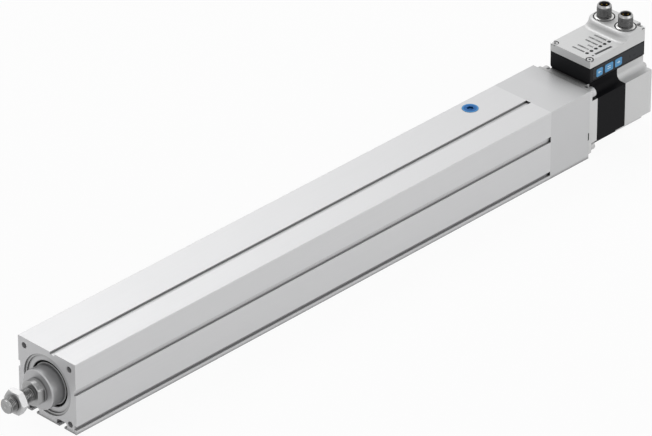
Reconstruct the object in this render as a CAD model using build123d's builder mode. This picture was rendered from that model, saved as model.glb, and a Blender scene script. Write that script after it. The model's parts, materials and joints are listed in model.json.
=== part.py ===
from build123d import *
import os

# An in-line electric cylinder: a ball screw in a slotted profile, turned by a stepper motor
# that carries its drive controller. X runs along the piston rod towards the motor, Y across
# and Z up, in millimetres. The origin is the centre of the profile's front face.

os.makedirs("parts", exist_ok=True)

# Gaps between pieces
seat_gap = 0.05
running_gap = 0.05
support_gap = 0.15
free_gap = 0.3

# Travel of the piston, with room left before each bumper
stroke = 350.0
front_reserve = 27.5
rear_reserve = 0.4

# Profile tube
profile_size = 60.0
profile_edge = 0.5
bore_radius = 22.0
keyway_width = 6.0
keyway_reach = 24.0
channel_radius = 2.1
front_thread_radius = 2.5
front_thread_depth = 18.0
groove_width = 5.0
groove_depth = 1.7
top_groove_y = -6.1
side_groove_z = 5.8
sensor_slot_width = 3.5
sensor_slot_depth = 2.2
sensor_slot_z = -24.7
t_slot_y = 14.6
t_slot_mouth = 5.2
t_slot_width = 10.8
t_slot_height = 4.1
t_slot_lip = 1.5
t_slot_chamfer = 1.4

# Front bearing
cap_pocket_radius = 24.6
cap_recess = 2.5
cap_length = 26.0
cap_edge = 0.5
cap_rear_lip = 1.5
wiper_seat_radius = 18.2
wiper_seat_depth = 5.0
wiper_recess = 0.9
wiper_lip_length = 1.2
wiper_throat_radius = 16.8
bush_seat_radius = 17.6
bush_length = 19.0
ring_groove_radius = 25.5
ring_thickness = 1.2
ring_inner_radius = 22.8
ring_mouth_angle = 14.0
bumper_thickness = 4.0
bumper_radius = 21.0
front_bumper_bore = 17.0
rear_bumper_bore = 12.0

# Piston rod with its threaded end
rod_radius = 16.0
rod_bore_radius = 11.5
rod_projection = 9.5
rod_nose_length = 22.0
rod_nose_chamfer = 0.7
stub_radius = 8.0
stub_length = 17.0
boss_radius = 10.0
boss_length = 7.5
boss_flats = 17.0
boss_flats_length = 6.0
stud_radius = 6.0
stud_rear_radius = 5.8
stud_length = 24.3
stud_chamfer = 0.9
stud_relief_radius = 5.0
stud_relief_length = 2.0
lock_nut_flats = 18.0
lock_nut_thickness = 6.0
lock_nut_setback = 7.3
lock_nut_bevel = 0.9

# Piston and ball nut
piston_length = 72.0
piston_radius = 21.6
piston_web = 6.0
piston_web_bore = 7.5
rod_socket_depth = 18.0
guide_band_offset = 5.0
guide_band_length = 14.0
guide_band_root = 19.5
guide_key_reach = 23.8
guide_key_width = 5.8
magnet_offset = 52.0
magnet_length = 6.0
magnet_root = 18.6
magnet_radius = 21.3
nut_radius = 13.5
nut_flange_radius = 19.0
nut_flange_thickness = 6.0
nut_screw_circle = 16.2
nut_screw_count = 3
nut_screw_radius = 1.25
nut_screw_reach = 13.0
nut_screw_head_radius = 2.2
nut_screw_head_height = 2.5

# Screw spindle and its bearings
spindle_radius = 5.75
spindle_reserve = 12.0
support_length = 10.0
support_journal_radius = 4.0
journal_radius = 5.0
spigot_length = 20.0
spigot_wall = 4.0
spigot_mouth_radius = 11.0
bearing_radius = 15.0
bearing_width = 9.0
bearing_race = 2.6
bearing_shield = 1.0
clamp_ring_radius = 16.5
clamp_ring_bore = 9.2
clamp_ring_thickness = 6.0
spanner_slot_width = 4.0
spanner_slot_depth = 2.0
shaft_nut_radius = 8.5
shaft_nut_thickness = 5.0

# Drive housing and coupling
housing_length = 44.0
chamber_radius = 17.0
tie_hole_radius = 2.75
pry_slot_width = 1.3
pry_slot_height = 6.5
pry_slot_depth = 3.0
pry_slot_z = -10.0
hub_radius = 14.5
hub_gap = 2.2
hub_motor_gap = 3.3
jaw_count = 3
jaw_length = 6.5
jaw_inner_radius = 6.3
jaw_angle = 28.0
spider_core_radius = 5.6
spider_bore_radius = 2.5

# Motor
motor_size = 56.4
motor_edge = 1.5
motor_wall = 4.7
notch_size = 9.26
notch_radius = 5.0
flange_plate = 5.0
front_bell = 11.2
stack_length = 32.4
rear_bell = 28.0
end_plate = 2.4
pilot_radius = 19.0
pilot_depth = 1.6
winding_room_depth = 4.7
motor_bearing_radius = 11.0
motor_bearing_width = 7.0
motor_bearing_race = 2.3
motor_bearing_wall = 2.0
motor_bearing_boss = 13.2
motor_shaft_radius = 4.0
motor_shaft_room = 2.4
stator_bore_radius = 14.3
slot_count = 8
slot_wall = 1.3
slot_width = 6.0
winding_inner_radius = 15.0
winding_gap = 0.7
end_turn = 3.6
rear_web = 9.0
rear_web_offset = 6.0
encoder_room_step = 1.0
shaft_tail = 2.0
cup_length = 12.5
rotor_magnet_length = 2.0
rotor_magnet_radius = 12.5
encoder_magnet_radius = 5.0
encoder_magnet_length = 3.0
encoder_board_gap = 2.5
encoder_board_thickness = 1.6
encoder_post_radius = 2.5
encoder_post_circle = 16.0
encoder_post_height = 7.0
motor_screw_inset = 9.8
motor_screw_radius = 1.5
motor_screw_core = 1.25
motor_screw_reach = 4.5
motor_screw_head_radius = 2.6
motor_screw_head_height = 2.0
motor_screw_flats = 2.5
motor_screw_socket_depth = 1.2

# Screws that tie motor, housing and profile together
tie_screw_radius = 2.5
tie_screw_core = 2.05
tie_screw_engagement = 14.0
tie_head_radius = 4.25
tie_head_height = 5.0
tie_socket_flats = 4.0
tie_socket_depth = 2.5

# Controller housing
controller_setback = 9.6
controller_inset = 0.8
controller_width = 42.0
base_height = 14.1
base_wall = 2.0
base_floor = 3.0
base_chamfer = 2.3
base_corner = 1.0
gasket_thickness = 0.4
gasket_inset = 0.5
gasket_width = 1.2
panel_height = 7.0
cover_wall = 2.0
deck_wall = 3.0
deck_height = 6.8
deck_radius = 12.0
deck_room_radius = 8.0
deck_top_fillet = 2.6
deck_foot_fillet = 4.0
deck_overrun = 10.0
cover_screw_inset_x = 2.4
cover_screw_inset_y = 2.8
cover_screw_pocket = 3.2
front_pocket_depth = 1.5
rear_pocket_depth = 3.0
cover_screw_radius = 1.2
cover_screw_hole = 1.4
cover_screw_reach = 6.0
cover_screw_head_radius = 2.3
cover_screw_head_height = 1.2
cover_screw_flats = 2.0
cover_screw_socket_depth = 0.7
corner_boss_radius = 3.0

# Boards inside the controller
board_end_gap = 1.8
board_side_gap = 0.85
board_thickness = 1.6
standoff_height = 4.0
standoff_radius = 2.2
standoff_inset_x = 7.0
standoff_inset_y = 3.0
capacitor_count = 3
capacitor_radius = 3.0
capacitor_height = 5.5
capacitor_pitch = 8.0
capacitor_offset = 12.0
capacitor_y = 6.0
lead_setback = 6.5
lead_length = 8.0
lead_width = 14.0
lead_depth = 7.2

# Signal lamps in the cover
lamp_offset = 7.6
lamp_y = -10.7
lamp_pitch = 5.08
lamp_count = 6
lamp_radius = 1.5
lamp_proud = 0.1
light_bar_thickness = 1.0

# Keys and their foil on the side of the controller
key_names = ("key_back", "key_enter", "key_next")
key_offsets = (11.1, 22.0, 32.9)
key_widths = (7.2, 9.4, 8.0)
key_height = 7.0
key_rise = 7.5
key_corner = 1.2
key_proud = 0.15
key_travel = 0.3
key_rim = 0.7
key_rim_thickness = 0.8
foil_front_inset = 3.9
foil_rear_inset = 1.6
foil_rise = 3.0
foil_height = 10.4
foil_corner = 1.0
foil_recess = 0.5
foil_thickness = 0.45
key_board_thickness = 1.2
key_board_margin = 1.0
key_board_height = 9.0
dome_radius = 1.8
dome_height = 0.25

# Round plug connectors on the deck
connector_names = ("power_connector", "signal_connector")
connector_setback = 12.4
connector_pitch = 22.4
connector_flange_radius = 8.0
connector_flange_thickness = 0.8
connector_flange_gap = 0.3
connector_thread_radius = 5.95
connector_height = 11.2
connector_rim_chamfer = 0.8
connector_bore_radius = 4.3
connector_neck_radius = 6.8
connector_tail = 6.5
insert_face_depth = 7.0
pin_count = 4
pin_radius = 0.5
pin_height = 5.5
pin_tail = 2.5
pin_circle = 2.75
seal_thickness = 0.6
seal_bore_radius = 7.0

# Lubrication plug
plug_setback = 39.1
plug_y = 19.0
plug_radius = 6.5
plug_head = 1.6
plug_proud = 0.2
plug_length = 7.0
plug_duct_radius = 2.0
plug_duct_depth = 20.0
plug_socket_flats = 5.0
plug_socket_depth = 1.2

# Places that follow from the sizes above
half = profile_size / 2
screw_pitch = motor_size - notch_size
cap_rear = cap_recess + cap_length
wiper_seat_end = cap_recess + wiper_seat_depth
ring_front = cap_recess - ring_thickness
boss_front = -rod_projection - boss_length
rod_tip = boss_front - stud_length
lock_nut_front = rod_tip + lock_nut_setback
piston_front = cap_rear + bumper_thickness + front_reserve + stroke
piston_rear = piston_front + piston_length
spigot_front = piston_rear + rear_reserve + bumper_thickness
profile_length = spigot_front + spigot_length
plug_x = profile_length - plug_setback
rod_rear = piston_front + rod_socket_depth
nut_front = rod_rear + piston_web
nut_flange_front = piston_rear - nut_flange_thickness
support_rear = nut_front - stroke - spindle_reserve
spindle_front = support_rear - support_length
band_front = piston_front + guide_band_offset
magnet_front = piston_front + magnet_offset
housing_rear = profile_length + housing_length
bearing_front = spigot_front + spigot_wall
bearing_rear = bearing_front + 2 * bearing_width
chamber_front = bearing_rear + clamp_ring_thickness
hub_front = bearing_rear + shaft_nut_thickness + hub_gap
hub_length = (housing_rear - hub_motor_gap - hub_front - jaw_length) / 2
jaw_front = hub_front + hub_length
jaw_rear = jaw_front + jaw_length
hub_rear = jaw_rear + hub_length
pilot_front = housing_rear - pilot_depth
bell_front = housing_rear + flange_plate
stack_front = housing_rear + front_bell
stack_rear = stack_front + stack_length
web_front = stack_rear + rear_web_offset
web_rear = web_front + rear_web
shaft_rear = web_rear + shaft_tail
motor_rear = stack_rear + rear_bell
motor_end = motor_rear + end_plate
motor_screw_pitch = motor_size - 2 * motor_screw_inset
winding_room_radius = motor_size / 2 - motor_wall
slot_radius = winding_room_radius - slot_wall
winding_outer_radius = slot_radius - winding_gap
encoder_room_radius = winding_room_radius - encoder_room_step
encoder_board_radius = encoder_room_radius - encoder_board_gap
motor_bearing_fronts = (housing_rear + motor_bearing_wall, web_front)
rotor_front = (stack_front + stack_rear - rotor_magnet_length) / 2 - cup_length
controller_bottom = motor_size / 2
controller_front = housing_rear + controller_setback
controller_rear = motor_end - controller_inset
controller_length = controller_rear - controller_front
controller_middle = controller_front + controller_length / 2
controller_side = controller_width / 2
base_top = controller_bottom + base_height
floor_top = controller_bottom + base_floor
cover_bottom = base_top + gasket_thickness
panel_z = cover_bottom + panel_height
deck_z = panel_z + deck_height
wall_inside = base_wall - controller_side
cover_screw_span_x = controller_length - 2 * cover_screw_inset_x
cover_screw_span_y = controller_width - 2 * cover_screw_inset_y
screw_seats = ((-1, panel_z - front_pocket_depth), (1, deck_z - rear_pocket_depth))
lead_x = motor_rear - lead_setback
lead_bottom = controller_bottom - lead_depth
lamp_x = controller_front + lamp_offset
lamp_places = [(lamp_x + k * lamp_pitch, lamp_y) for k in range(lamp_count)]
key_centres = [controller_front + offset for offset in key_offsets]
key_z = controller_bottom + key_rise
key_rim_front = wall_inside + free_gap
key_board_front = key_rim_front + key_rim_thickness + key_travel + dome_height + free_gap
foil_front = controller_front + foil_front_inset
foil_rear = controller_rear - foil_rear_inset
foil_bottom = controller_bottom + foil_rise
foil_top = foil_bottom + foil_height
board_bottom = floor_top + standoff_height
board_length = controller_length - 2 * (base_wall + board_end_gap)
board_width = -2 * (key_board_front + key_board_thickness + board_side_gap)
standoff_pitch_x = board_length - 2 * standoff_inset_x
standoff_pitch_y = board_width - 2 * standoff_inset_y
capacitor_x = controller_front + capacitor_offset
connector_x = controller_rear - connector_setback
connector_sides = (connector_pitch / 2, -connector_pitch / 2)
flange_bottom = deck_z - connector_flange_thickness
seal_bottom = flange_bottom - seal_thickness
connector_bottom = flange_bottom - connector_tail
connector_top = deck_z + connector_height
insert_face = connector_top - insert_face_depth
pieces = []


def finish(piece, label):
    """Names a finished piece and keeps it for export."""
    piece.part.label = label
    pieces.append(piece)


def ring(x_start, x_end, outer, inner=0.0):
    """Corners of a plain ring's half section, as x and radius."""
    return [(x_start, inner), (x_end, inner), (x_end, outer), (x_start, outer)]


def turn(corners, mode=Mode.ADD, arc=360):
    """Turns a half section about the cylinder's axis, in the part that is being built."""
    with BuildSketch(Plane.XY) as half_section:
        with BuildLine():
            Polyline(*corners, close=True)
        make_face()
    revolve(half_section.sketch, axis=Axis.X, revolution_arc=arc, mode=mode)


def turned(label, *outlines):
    """A node made only of turned sections, with a solid for each."""
    with BuildPart() as piece:
        for corners in outlines:
            turn(corners)
    finish(piece, label)


def sealed_race(x_start, width, outer, inner_race, race):
    """Half section of a sealed bearing's outer ring, with a shield on each face."""
    x_end = x_start + width
    lip = inner_race + free_gap
    return [
        (x_start, lip), (x_start, outer), (x_end, outer), (x_end, lip),
        (x_end - bearing_shield, lip), (x_end - bearing_shield, outer - race),
        (x_start + bearing_shield, outer - race), (x_start + bearing_shield, lip),
    ]


def motor_section(x_start):
    """The motor's square section, with a rounded notch in each corner."""
    with BuildSketch(Plane.YZ.offset(x_start)) as outline:
        Rectangle(motor_size, motor_size)
        with GridLocations(motor_size, motor_size, 2, 2):
            RectangleRounded(2 * notch_size, 2 * notch_size, notch_radius, mode=Mode.SUBTRACT)
    return outline.sketch


def four_round(x_start, pitch, radius):
    """Four discs on the corners of a square about the axis."""
    with BuildSketch(Plane.YZ.offset(x_start)) as discs:
        with GridLocations(pitch, pitch, 2, 2):
            Circle(radius)
    return discs.sketch


def four_hexagons(x_start, pitch, flats):
    """Four hexagons on the corners of a square about the axis."""
    with BuildSketch(Plane.YZ.offset(x_start)) as hexagons:
        with GridLocations(pitch, pitch, 2, 2):
            RegularPolygon(flats / 2, 6, major_radius=False)
    return hexagons.sketch


def sectors(x_start, inner, outer, angle, count, first):
    """Wedges of a ring about the axis, for jaws and the legs between them."""
    with BuildSketch(Plane.YZ.offset(x_start)) as wedges:
        for k in range(count):
            start = first + k * 360 / count - angle / 2
            with BuildLine():
                outside = CenterArc((0, 0), outer, start, angle)
                inside = CenterArc((0, 0), inner, start, angle)
                Line(outside @ 0, inside @ 0)
                Line(outside @ 1, inside @ 1)
            make_face()
    return wedges.sketch


def plate(z_start, length, width, corner=0.0):
    """A rectangle in plan, centred on the controller."""
    with BuildSketch(Plane.XY.offset(z_start)) as outline:
        with Locations((controller_middle, 0)):
            if corner > 0:
                RectangleRounded(length, width, corner)
            else:
                Rectangle(length, width)
    return outline.sketch


def cover_screw_discs(z_start, radius):
    """Discs in plan at the four screws of the controller's cover."""
    with BuildSketch(Plane.XY.offset(z_start)) as discs:
        with Locations((controller_middle, 0)):
            with GridLocations(cover_screw_span_x, cover_screw_span_y, 2, 2):
                Circle(radius)
    return discs.sketch


def screw_pair(end, z_start, radius, sides=0):
    """Discs or hexagons in plan at the cover screws of one end: -1 the front, 1 the rear."""
    with BuildSketch(Plane.XY.offset(z_start)) as shapes:
        with Locations((controller_middle + end * cover_screw_span_x / 2, 0)):
            with GridLocations(1, cover_screw_span_y, 1, 2):
                if sides:
                    RegularPolygon(radius, sides, major_radius=False)
                else:
                    Circle(radius)
    return shapes.sketch


def pin_discs(side, z_start, radius):
    """Discs in plan at the contact pins of one connector."""
    with BuildSketch(Plane.XY.offset(z_start)) as discs:
        with Locations((connector_x, side)):
            with PolarLocations(pin_circle, pin_count):
                Circle(radius)
    return discs.sketch


def connector_disc(side, z_start, radius):
    """A disc in plan at one of the two connectors."""
    with BuildSketch(Plane.XY.offset(z_start)) as disc:
        with Locations((connector_x, side)):
            Circle(radius)
    return disc.sketch


def lead_opening(grow):
    """The passage in plan between the motor and the controller."""
    with BuildSketch(Plane.XY.offset(lead_bottom)) as opening:
        with Locations((lead_x, 0)):
            Rectangle(lead_length + 2 * grow, lead_width + 2 * grow)
    return opening.sketch


# Corners of one T-slot, from the middle of its mouth
t_slot_corners = [
    (-t_slot_mouth / 2, -t_slot_lip), (-t_slot_mouth / 2, t_slot_lip),
    (-t_slot_width / 2, t_slot_lip), (-t_slot_width / 2, t_slot_lip + t_slot_height - t_slot_chamfer),
    (-t_slot_width / 2 + t_slot_chamfer, t_slot_lip + t_slot_height),
    (t_slot_width / 2 - t_slot_chamfer, t_slot_lip + t_slot_height),
    (t_slot_width / 2, t_slot_lip + t_slot_height - t_slot_chamfer), (t_slot_width / 2, t_slot_lip),
    (t_slot_mouth / 2, t_slot_lip), (t_slot_mouth / 2, -t_slot_lip),
]

# Profile tube: an extrusion with a keyed bore, screw channels, grooves and two T-slots
with BuildPart() as profile_tube:
    with BuildSketch(Plane.YZ):
        RectangleRounded(profile_size, profile_size, profile_edge)
        Circle(bore_radius, mode=Mode.SUBTRACT)
        Rectangle(2 * keyway_reach, keyway_width, mode=Mode.SUBTRACT)
        with GridLocations(screw_pitch, screw_pitch, 2, 2):
            Circle(channel_radius, mode=Mode.SUBTRACT)
        with Locations((top_groove_y, half)):
            Rectangle(groove_width, 2 * groove_depth, mode=Mode.SUBTRACT)
        with Locations((-half, side_groove_z), (half, side_groove_z)):
            Rectangle(2 * groove_depth, groove_width, mode=Mode.SUBTRACT)
        with Locations((-half, sensor_slot_z), (half, sensor_slot_z)):
            Rectangle(2 * sensor_slot_depth, sensor_slot_width, mode=Mode.SUBTRACT)
        with Locations((-t_slot_y, -half), (t_slot_y, -half)):
            Polygon(*t_slot_corners, align=None, mode=Mode.SUBTRACT)
    extrude(amount=profile_length)
    turn(ring(0, cap_rear, cap_pocket_radius), mode=Mode.SUBTRACT)
    turn(ring(ring_front, cap_recess, ring_groove_radius), mode=Mode.SUBTRACT)
    extrude(four_round(0, screw_pitch, front_thread_radius), amount=front_thread_depth, mode=Mode.SUBTRACT)
    with Locations((plug_x, plug_y, half)):
        CounterBoreHole(plug_duct_radius, plug_radius + seat_gap, plug_head, plug_duct_depth)
finish(profile_tube, "profile_tube")

# Bearing cap: holds the rod's bush and wiper in the mouth of the profile
turned("bearing_cap", [
    (cap_recess, wiper_seat_radius + cap_edge), (cap_recess + cap_edge, wiper_seat_radius),
    (wiper_seat_end, wiper_seat_radius), (wiper_seat_end, bush_seat_radius),
    (cap_rear - cap_rear_lip, bush_seat_radius), (cap_rear - cap_rear_lip, rod_radius + free_gap),
    (cap_rear, rod_radius + free_gap), (cap_rear, cap_pocket_radius - seat_gap),
    (cap_recess, cap_pocket_radius - seat_gap),
])

# Guide bush: a plain bearing sleeve
bush_rear = cap_rear - cap_rear_lip
turned("guide_bush", ring(bush_rear - bush_length, bush_rear, bush_seat_radius - seat_gap,
                          rod_radius + running_gap))

# Rod wiper: a soft ring with one lip on the rod
wiper_front = cap_recess + wiper_recess
wiper_outer = wiper_seat_radius - seat_gap
turned("rod_wiper", [
    (wiper_front, rod_radius + running_gap), (wiper_front + wiper_lip_length, rod_radius + running_gap),
    (wiper_front + 2 * wiper_lip_length, wiper_throat_radius),
    (wiper_seat_end - seat_gap, wiper_throat_radius), (wiper_seat_end - seat_gap, wiper_outer),
    (wiper_front + wiper_lip_length, wiper_outer), (wiper_front, wiper_throat_radius),
])

# Retaining ring: an open spring ring in front of the cap
with BuildPart() as retaining_ring:
    turn(ring(ring_front, cap_recess, ring_groove_radius - seat_gap, ring_inner_radius),
         arc=360 - ring_mouth_angle)
finish(retaining_ring, "retaining_ring")

# Bumpers at the ends of the piston's travel
turned("front_bumper", ring(cap_rear, cap_rear + bumper_thickness, bumper_radius, front_bumper_bore))
turned("rear_bumper", ring(spigot_front - bumper_thickness, spigot_front, bumper_radius, rear_bumper_bore))

# Lubrication plug: closes the duct that leads down into the bore
with BuildPart() as lubrication_plug:
    with BuildSketch(Plane.XY.offset(half - plug_head)):
        with Locations((plug_x, plug_y)):
            Circle(plug_radius)
    extrude(amount=plug_head + plug_proud)
    with BuildSketch(Plane.XY.offset(half - plug_length)):
        with Locations((plug_x, plug_y)):
            Circle(plug_duct_radius - seat_gap)
    extrude(amount=plug_length - plug_head)
    with BuildSketch(Plane.XY.offset(half + plug_proud)):
        with Locations((plug_x, plug_y)):
            RegularPolygon(plug_socket_flats / 2, 6, major_radius=False)
    extrude(amount=-plug_socket_depth, mode=Mode.SUBTRACT)
finish(lubrication_plug, "lubrication_plug")

# Piston rod: a tube with a closed nose
rod_nose_end = rod_nose_length - rod_projection
stub_end = stub_length - rod_projection
turned("piston_rod", [
    (stub_end + free_gap, 0), (stub_end + free_gap, stub_radius + seat_gap),
    (-rod_projection, stub_radius + seat_gap), (-rod_projection, rod_radius - rod_nose_chamfer),
    (-rod_projection + rod_nose_chamfer, rod_radius), (rod_rear, rod_radius), (rod_rear, rod_bore_radius),
    (rod_nose_end, rod_bore_radius), (rod_nose_end, 0),
])

# Rod end: a stub in the rod, a boss with spanner flats and a stud for the thread, whose free
# end in front of the lock nut has the thread's full size
with BuildPart() as rod_end:
    turn([
        (stub_end, 0), (stub_end, stub_radius), (-rod_projection, stub_radius),
        (-rod_projection, boss_radius), (boss_front, boss_radius), (boss_front, stud_relief_radius),
        (boss_front - stud_relief_length, stud_relief_radius),
        (boss_front - stud_relief_length, stud_rear_radius), (lock_nut_front, stud_rear_radius),
        (lock_nut_front, stud_radius), (rod_tip + stud_chamfer, stud_radius),
        (rod_tip, stud_radius - stud_chamfer), (rod_tip, 0),
    ])
    flat_middle = (boss_radius + boss_flats / 2) / 2
    with Locations((boss_front + boss_flats_length / 2, flat_middle, 0),
                   (boss_front + boss_flats_length / 2, -flat_middle, 0)):
        Box(boss_flats_length, boss_radius - boss_flats / 2, 2 * boss_radius, mode=Mode.SUBTRACT)
finish(rod_end, "rod_end")

# Lock nut: a thin hexagon nut with bevelled corners
with BuildPart() as lock_nut:
    with BuildSketch(Plane.YZ.offset(lock_nut_front)):
        RegularPolygon(lock_nut_flats / 2, 6, major_radius=False)
        Circle(stud_rear_radius + seat_gap, mode=Mode.SUBTRACT)
    extrude(amount=lock_nut_thickness)
    lock_nut_rear = lock_nut_front + lock_nut_thickness
    nut_corner = lock_nut_flats / 2 + 2 * lock_nut_bevel
    turn([
        (lock_nut_front, 0), (lock_nut_front, lock_nut_flats / 2),
        (lock_nut_front + lock_nut_bevel, nut_corner), (lock_nut_rear - lock_nut_bevel, nut_corner),
        (lock_nut_rear, lock_nut_flats / 2), (lock_nut_rear, 0),
    ], mode=Mode.INTERSECT)
finish(lock_nut, "lock_nut")

# Piston: carries the rod, the ball nut, the guide band and the magnet
with BuildPart() as piston:
    turn([
        (piston_front, rod_radius + seat_gap), (piston_front, piston_radius), (band_front, piston_radius),
        (band_front, guide_band_root), (band_front + guide_band_length, guide_band_root),
        (band_front + guide_band_length, piston_radius), (magnet_front, piston_radius),
        (magnet_front, magnet_root), (magnet_front + magnet_length, magnet_root),
        (magnet_front + magnet_length, piston_radius), (piston_rear, piston_radius),
        (piston_rear, nut_flange_radius + seat_gap), (nut_flange_front, nut_flange_radius + seat_gap),
        (nut_flange_front, nut_radius + seat_gap), (nut_front, nut_radius + seat_gap),
        (nut_front, piston_web_bore), (rod_rear, piston_web_bore), (rod_rear, rod_radius + seat_gap),
    ])
    with BuildSketch(Plane.YZ.offset(piston_rear)):
        with PolarLocations(nut_screw_circle, nut_screw_count):
            Circle(nut_screw_radius + seat_gap)
    extrude(amount=-nut_screw_reach, mode=Mode.SUBTRACT)
finish(piston, "piston")

# Guide band: a sliding ring whose two keys run in the profile's keyways
with BuildPart() as guide_band:
    turn(ring(band_front, band_front + guide_band_length, bore_radius - running_gap,
              guide_band_root + seat_gap))
    key_middle = (guide_key_reach + guide_band_root + 2 * seat_gap) / 2
    key_depth = guide_key_reach - guide_band_root - 2 * seat_gap
    band_middle = band_front + guide_band_length / 2
    with Locations((band_middle, key_middle, 0), (band_middle, -key_middle, 0)):
        Box(guide_band_length, key_depth, guide_key_width)
    turn(ring(band_front, band_front + guide_band_length, guide_band_root + seat_gap), mode=Mode.SUBTRACT)
finish(guide_band, "guide_band")

# Magnet ring that the position sensors feel
turned("magnet_ring", ring(magnet_front + seat_gap, magnet_front + magnet_length - seat_gap,
                           magnet_radius, magnet_root + seat_gap))

# Ball nut: a flanged nut, screwed into the back of the piston
with BuildPart() as ball_nut:
    turn([
        (nut_front, spindle_radius + free_gap), (nut_front, nut_radius), (nut_flange_front, nut_radius),
        (nut_flange_front, nut_flange_radius), (piston_rear, nut_flange_radius),
        (piston_rear, spindle_radius + free_gap),
    ])
    with BuildSketch(Plane.YZ.offset(piston_rear)):
        with PolarLocations(nut_screw_circle, nut_screw_count):
            Circle(nut_screw_radius + seat_gap)
    extrude(amount=-nut_flange_thickness, mode=Mode.SUBTRACT)
    with BuildSketch(Plane.YZ.offset(piston_rear)):
        with PolarLocations(nut_screw_circle, nut_screw_count):
            Circle(nut_screw_head_radius + seat_gap)
    extrude(amount=-nut_screw_head_height, mode=Mode.SUBTRACT)
finish(ball_nut, "ball_nut")

# Screws of the ball nut
with BuildPart() as nut_screws:
    with BuildSketch(Plane.YZ.offset(piston_rear)):
        with PolarLocations(nut_screw_circle, nut_screw_count):
            Circle(nut_screw_head_radius)
    extrude(amount=-nut_screw_head_height)
    with BuildSketch(Plane.YZ.offset(piston_rear - nut_screw_head_height)):
        with PolarLocations(nut_screw_circle, nut_screw_count):
            Circle(nut_screw_radius)
    extrude(amount=nut_screw_head_height + seat_gap - nut_screw_reach)
finish(nut_screws, "nut_screws")

# Screw spindle: its free end runs in a support ring inside the rod
journal_end = jaw_front - free_gap
turned("screw_spindle", [
    (spindle_front, 0), (spindle_front, support_journal_radius), (support_rear, support_journal_radius),
    (support_rear, spindle_radius), (bearing_front, spindle_radius), (bearing_front, journal_radius),
    (journal_end, journal_radius), (journal_end, 0),
])
turned("support_ring", ring(spindle_front, support_rear, rod_bore_radius - support_gap,
                            support_journal_radius + seat_gap))

# Spindle bearings: a pair of sealed ball bearings
bearing_fronts = (bearing_front, bearing_front + bearing_width)
inner_race = journal_radius + bearing_race
turned("spindle_bearing_outer_rings", *[
    sealed_race(x, bearing_width, bearing_radius - seat_gap, inner_race, bearing_race) for x in bearing_fronts
])
turned("spindle_bearing_inner_rings", *[
    ring(x, x + bearing_width, inner_race, journal_radius + seat_gap) for x in bearing_fronts
])

# Threaded ring that clamps the outer rings, with spanner slots
with BuildPart() as bearing_clamp_ring:
    turn(ring(bearing_rear, chamber_front, clamp_ring_radius - seat_gap, clamp_ring_bore))
    with BuildSketch(Plane.YZ.offset(chamber_front)):
        Rectangle(2 * clamp_ring_radius, spanner_slot_width)
        Rectangle(spanner_slot_width, 2 * clamp_ring_radius)
    extrude(amount=-spanner_slot_depth, mode=Mode.SUBTRACT)
finish(bearing_clamp_ring, "bearing_clamp_ring")
turned("spindle_nut", ring(bearing_rear, bearing_rear + shaft_nut_thickness, shaft_nut_radius,
                           journal_radius + seat_gap))

# Drive housing: seats the bearings, encloses the coupling and carries the motor
with BuildPart() as drive_housing:
    with BuildSketch(Plane.YZ.offset(profile_length)):
        RectangleRounded(profile_size, profile_size, profile_edge)
    extrude(amount=housing_length)
    turn(ring(spigot_front, profile_length, bore_radius - seat_gap))
    turn([
        (spigot_front, 0), (spigot_front, spigot_mouth_radius), (bearing_front, spigot_mouth_radius),
        (bearing_front, bearing_radius), (bearing_rear, bearing_radius), (bearing_rear, clamp_ring_radius),
        (chamber_front, clamp_ring_radius), (chamber_front, chamber_radius), (pilot_front, chamber_radius),
        (pilot_front, pilot_radius), (housing_rear, pilot_radius), (housing_rear, 0),
    ], mode=Mode.SUBTRACT)
    extrude(four_round(profile_length, screw_pitch, tie_hole_radius), amount=housing_length,
            mode=Mode.SUBTRACT)
    with Locations((housing_rear - pry_slot_width / 2, pry_slot_depth / 2 - half, pry_slot_z)):
        Box(pry_slot_width, pry_slot_depth, pry_slot_height, mode=Mode.SUBTRACT)
finish(drive_housing, "drive_housing")

# Jaw coupling between spindle and motor: two hubs and a soft spider
with BuildPart() as spindle_hub:
    turn(ring(hub_front, jaw_front, hub_radius, journal_radius + seat_gap))
    extrude(sectors(jaw_front, jaw_inner_radius, hub_radius, jaw_angle, jaw_count, 0), amount=jaw_length)
finish(spindle_hub, "spindle_hub")

with BuildPart() as motor_hub:
    turn(ring(jaw_rear, hub_rear, hub_radius, motor_shaft_radius + seat_gap))
    extrude(sectors(jaw_rear, jaw_inner_radius, hub_radius, jaw_angle, jaw_count, 180), amount=-jaw_length)
finish(motor_hub, "motor_hub")

with BuildPart() as coupling_spider:
    turn(ring(jaw_front, jaw_rear, spider_core_radius, spider_bore_radius))
    extrude(sectors(jaw_front, spider_core_radius - free_gap, hub_radius, jaw_angle, 2 * jaw_count,
                    90 / jaw_count), amount=jaw_length)
finish(coupling_spider, "coupling_spider")

# Motor flange: a square plate with a pilot, and a notched bell behind it
with BuildPart() as motor_flange:
    with BuildSketch(Plane.YZ.offset(housing_rear)):
        RectangleRounded(motor_size, motor_size, motor_edge)
    extrude(amount=flange_plate)
    extrude(motor_section(bell_front), amount=stack_front - bell_front)
    turn(ring(pilot_front, housing_rear, pilot_radius - seat_gap))
    extrude(four_round(housing_rear, screw_pitch, tie_hole_radius), amount=flange_plate, mode=Mode.SUBTRACT)
    shaft_room = motor_shaft_radius + motor_shaft_room
    turn(ring(pilot_front, housing_rear + motor_bearing_wall, shaft_room), mode=Mode.SUBTRACT)
    turn(ring(housing_rear + motor_bearing_wall, stack_front, motor_bearing_radius), mode=Mode.SUBTRACT)
    turn(ring(stack_front - winding_room_depth, stack_front, winding_room_radius, motor_bearing_boss),
         mode=Mode.SUBTRACT)
    extrude(four_round(stack_front, motor_screw_pitch, motor_screw_core + seat_gap),
            amount=-motor_screw_reach - free_gap, mode=Mode.SUBTRACT)
finish(motor_flange, "motor_flange")

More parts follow.
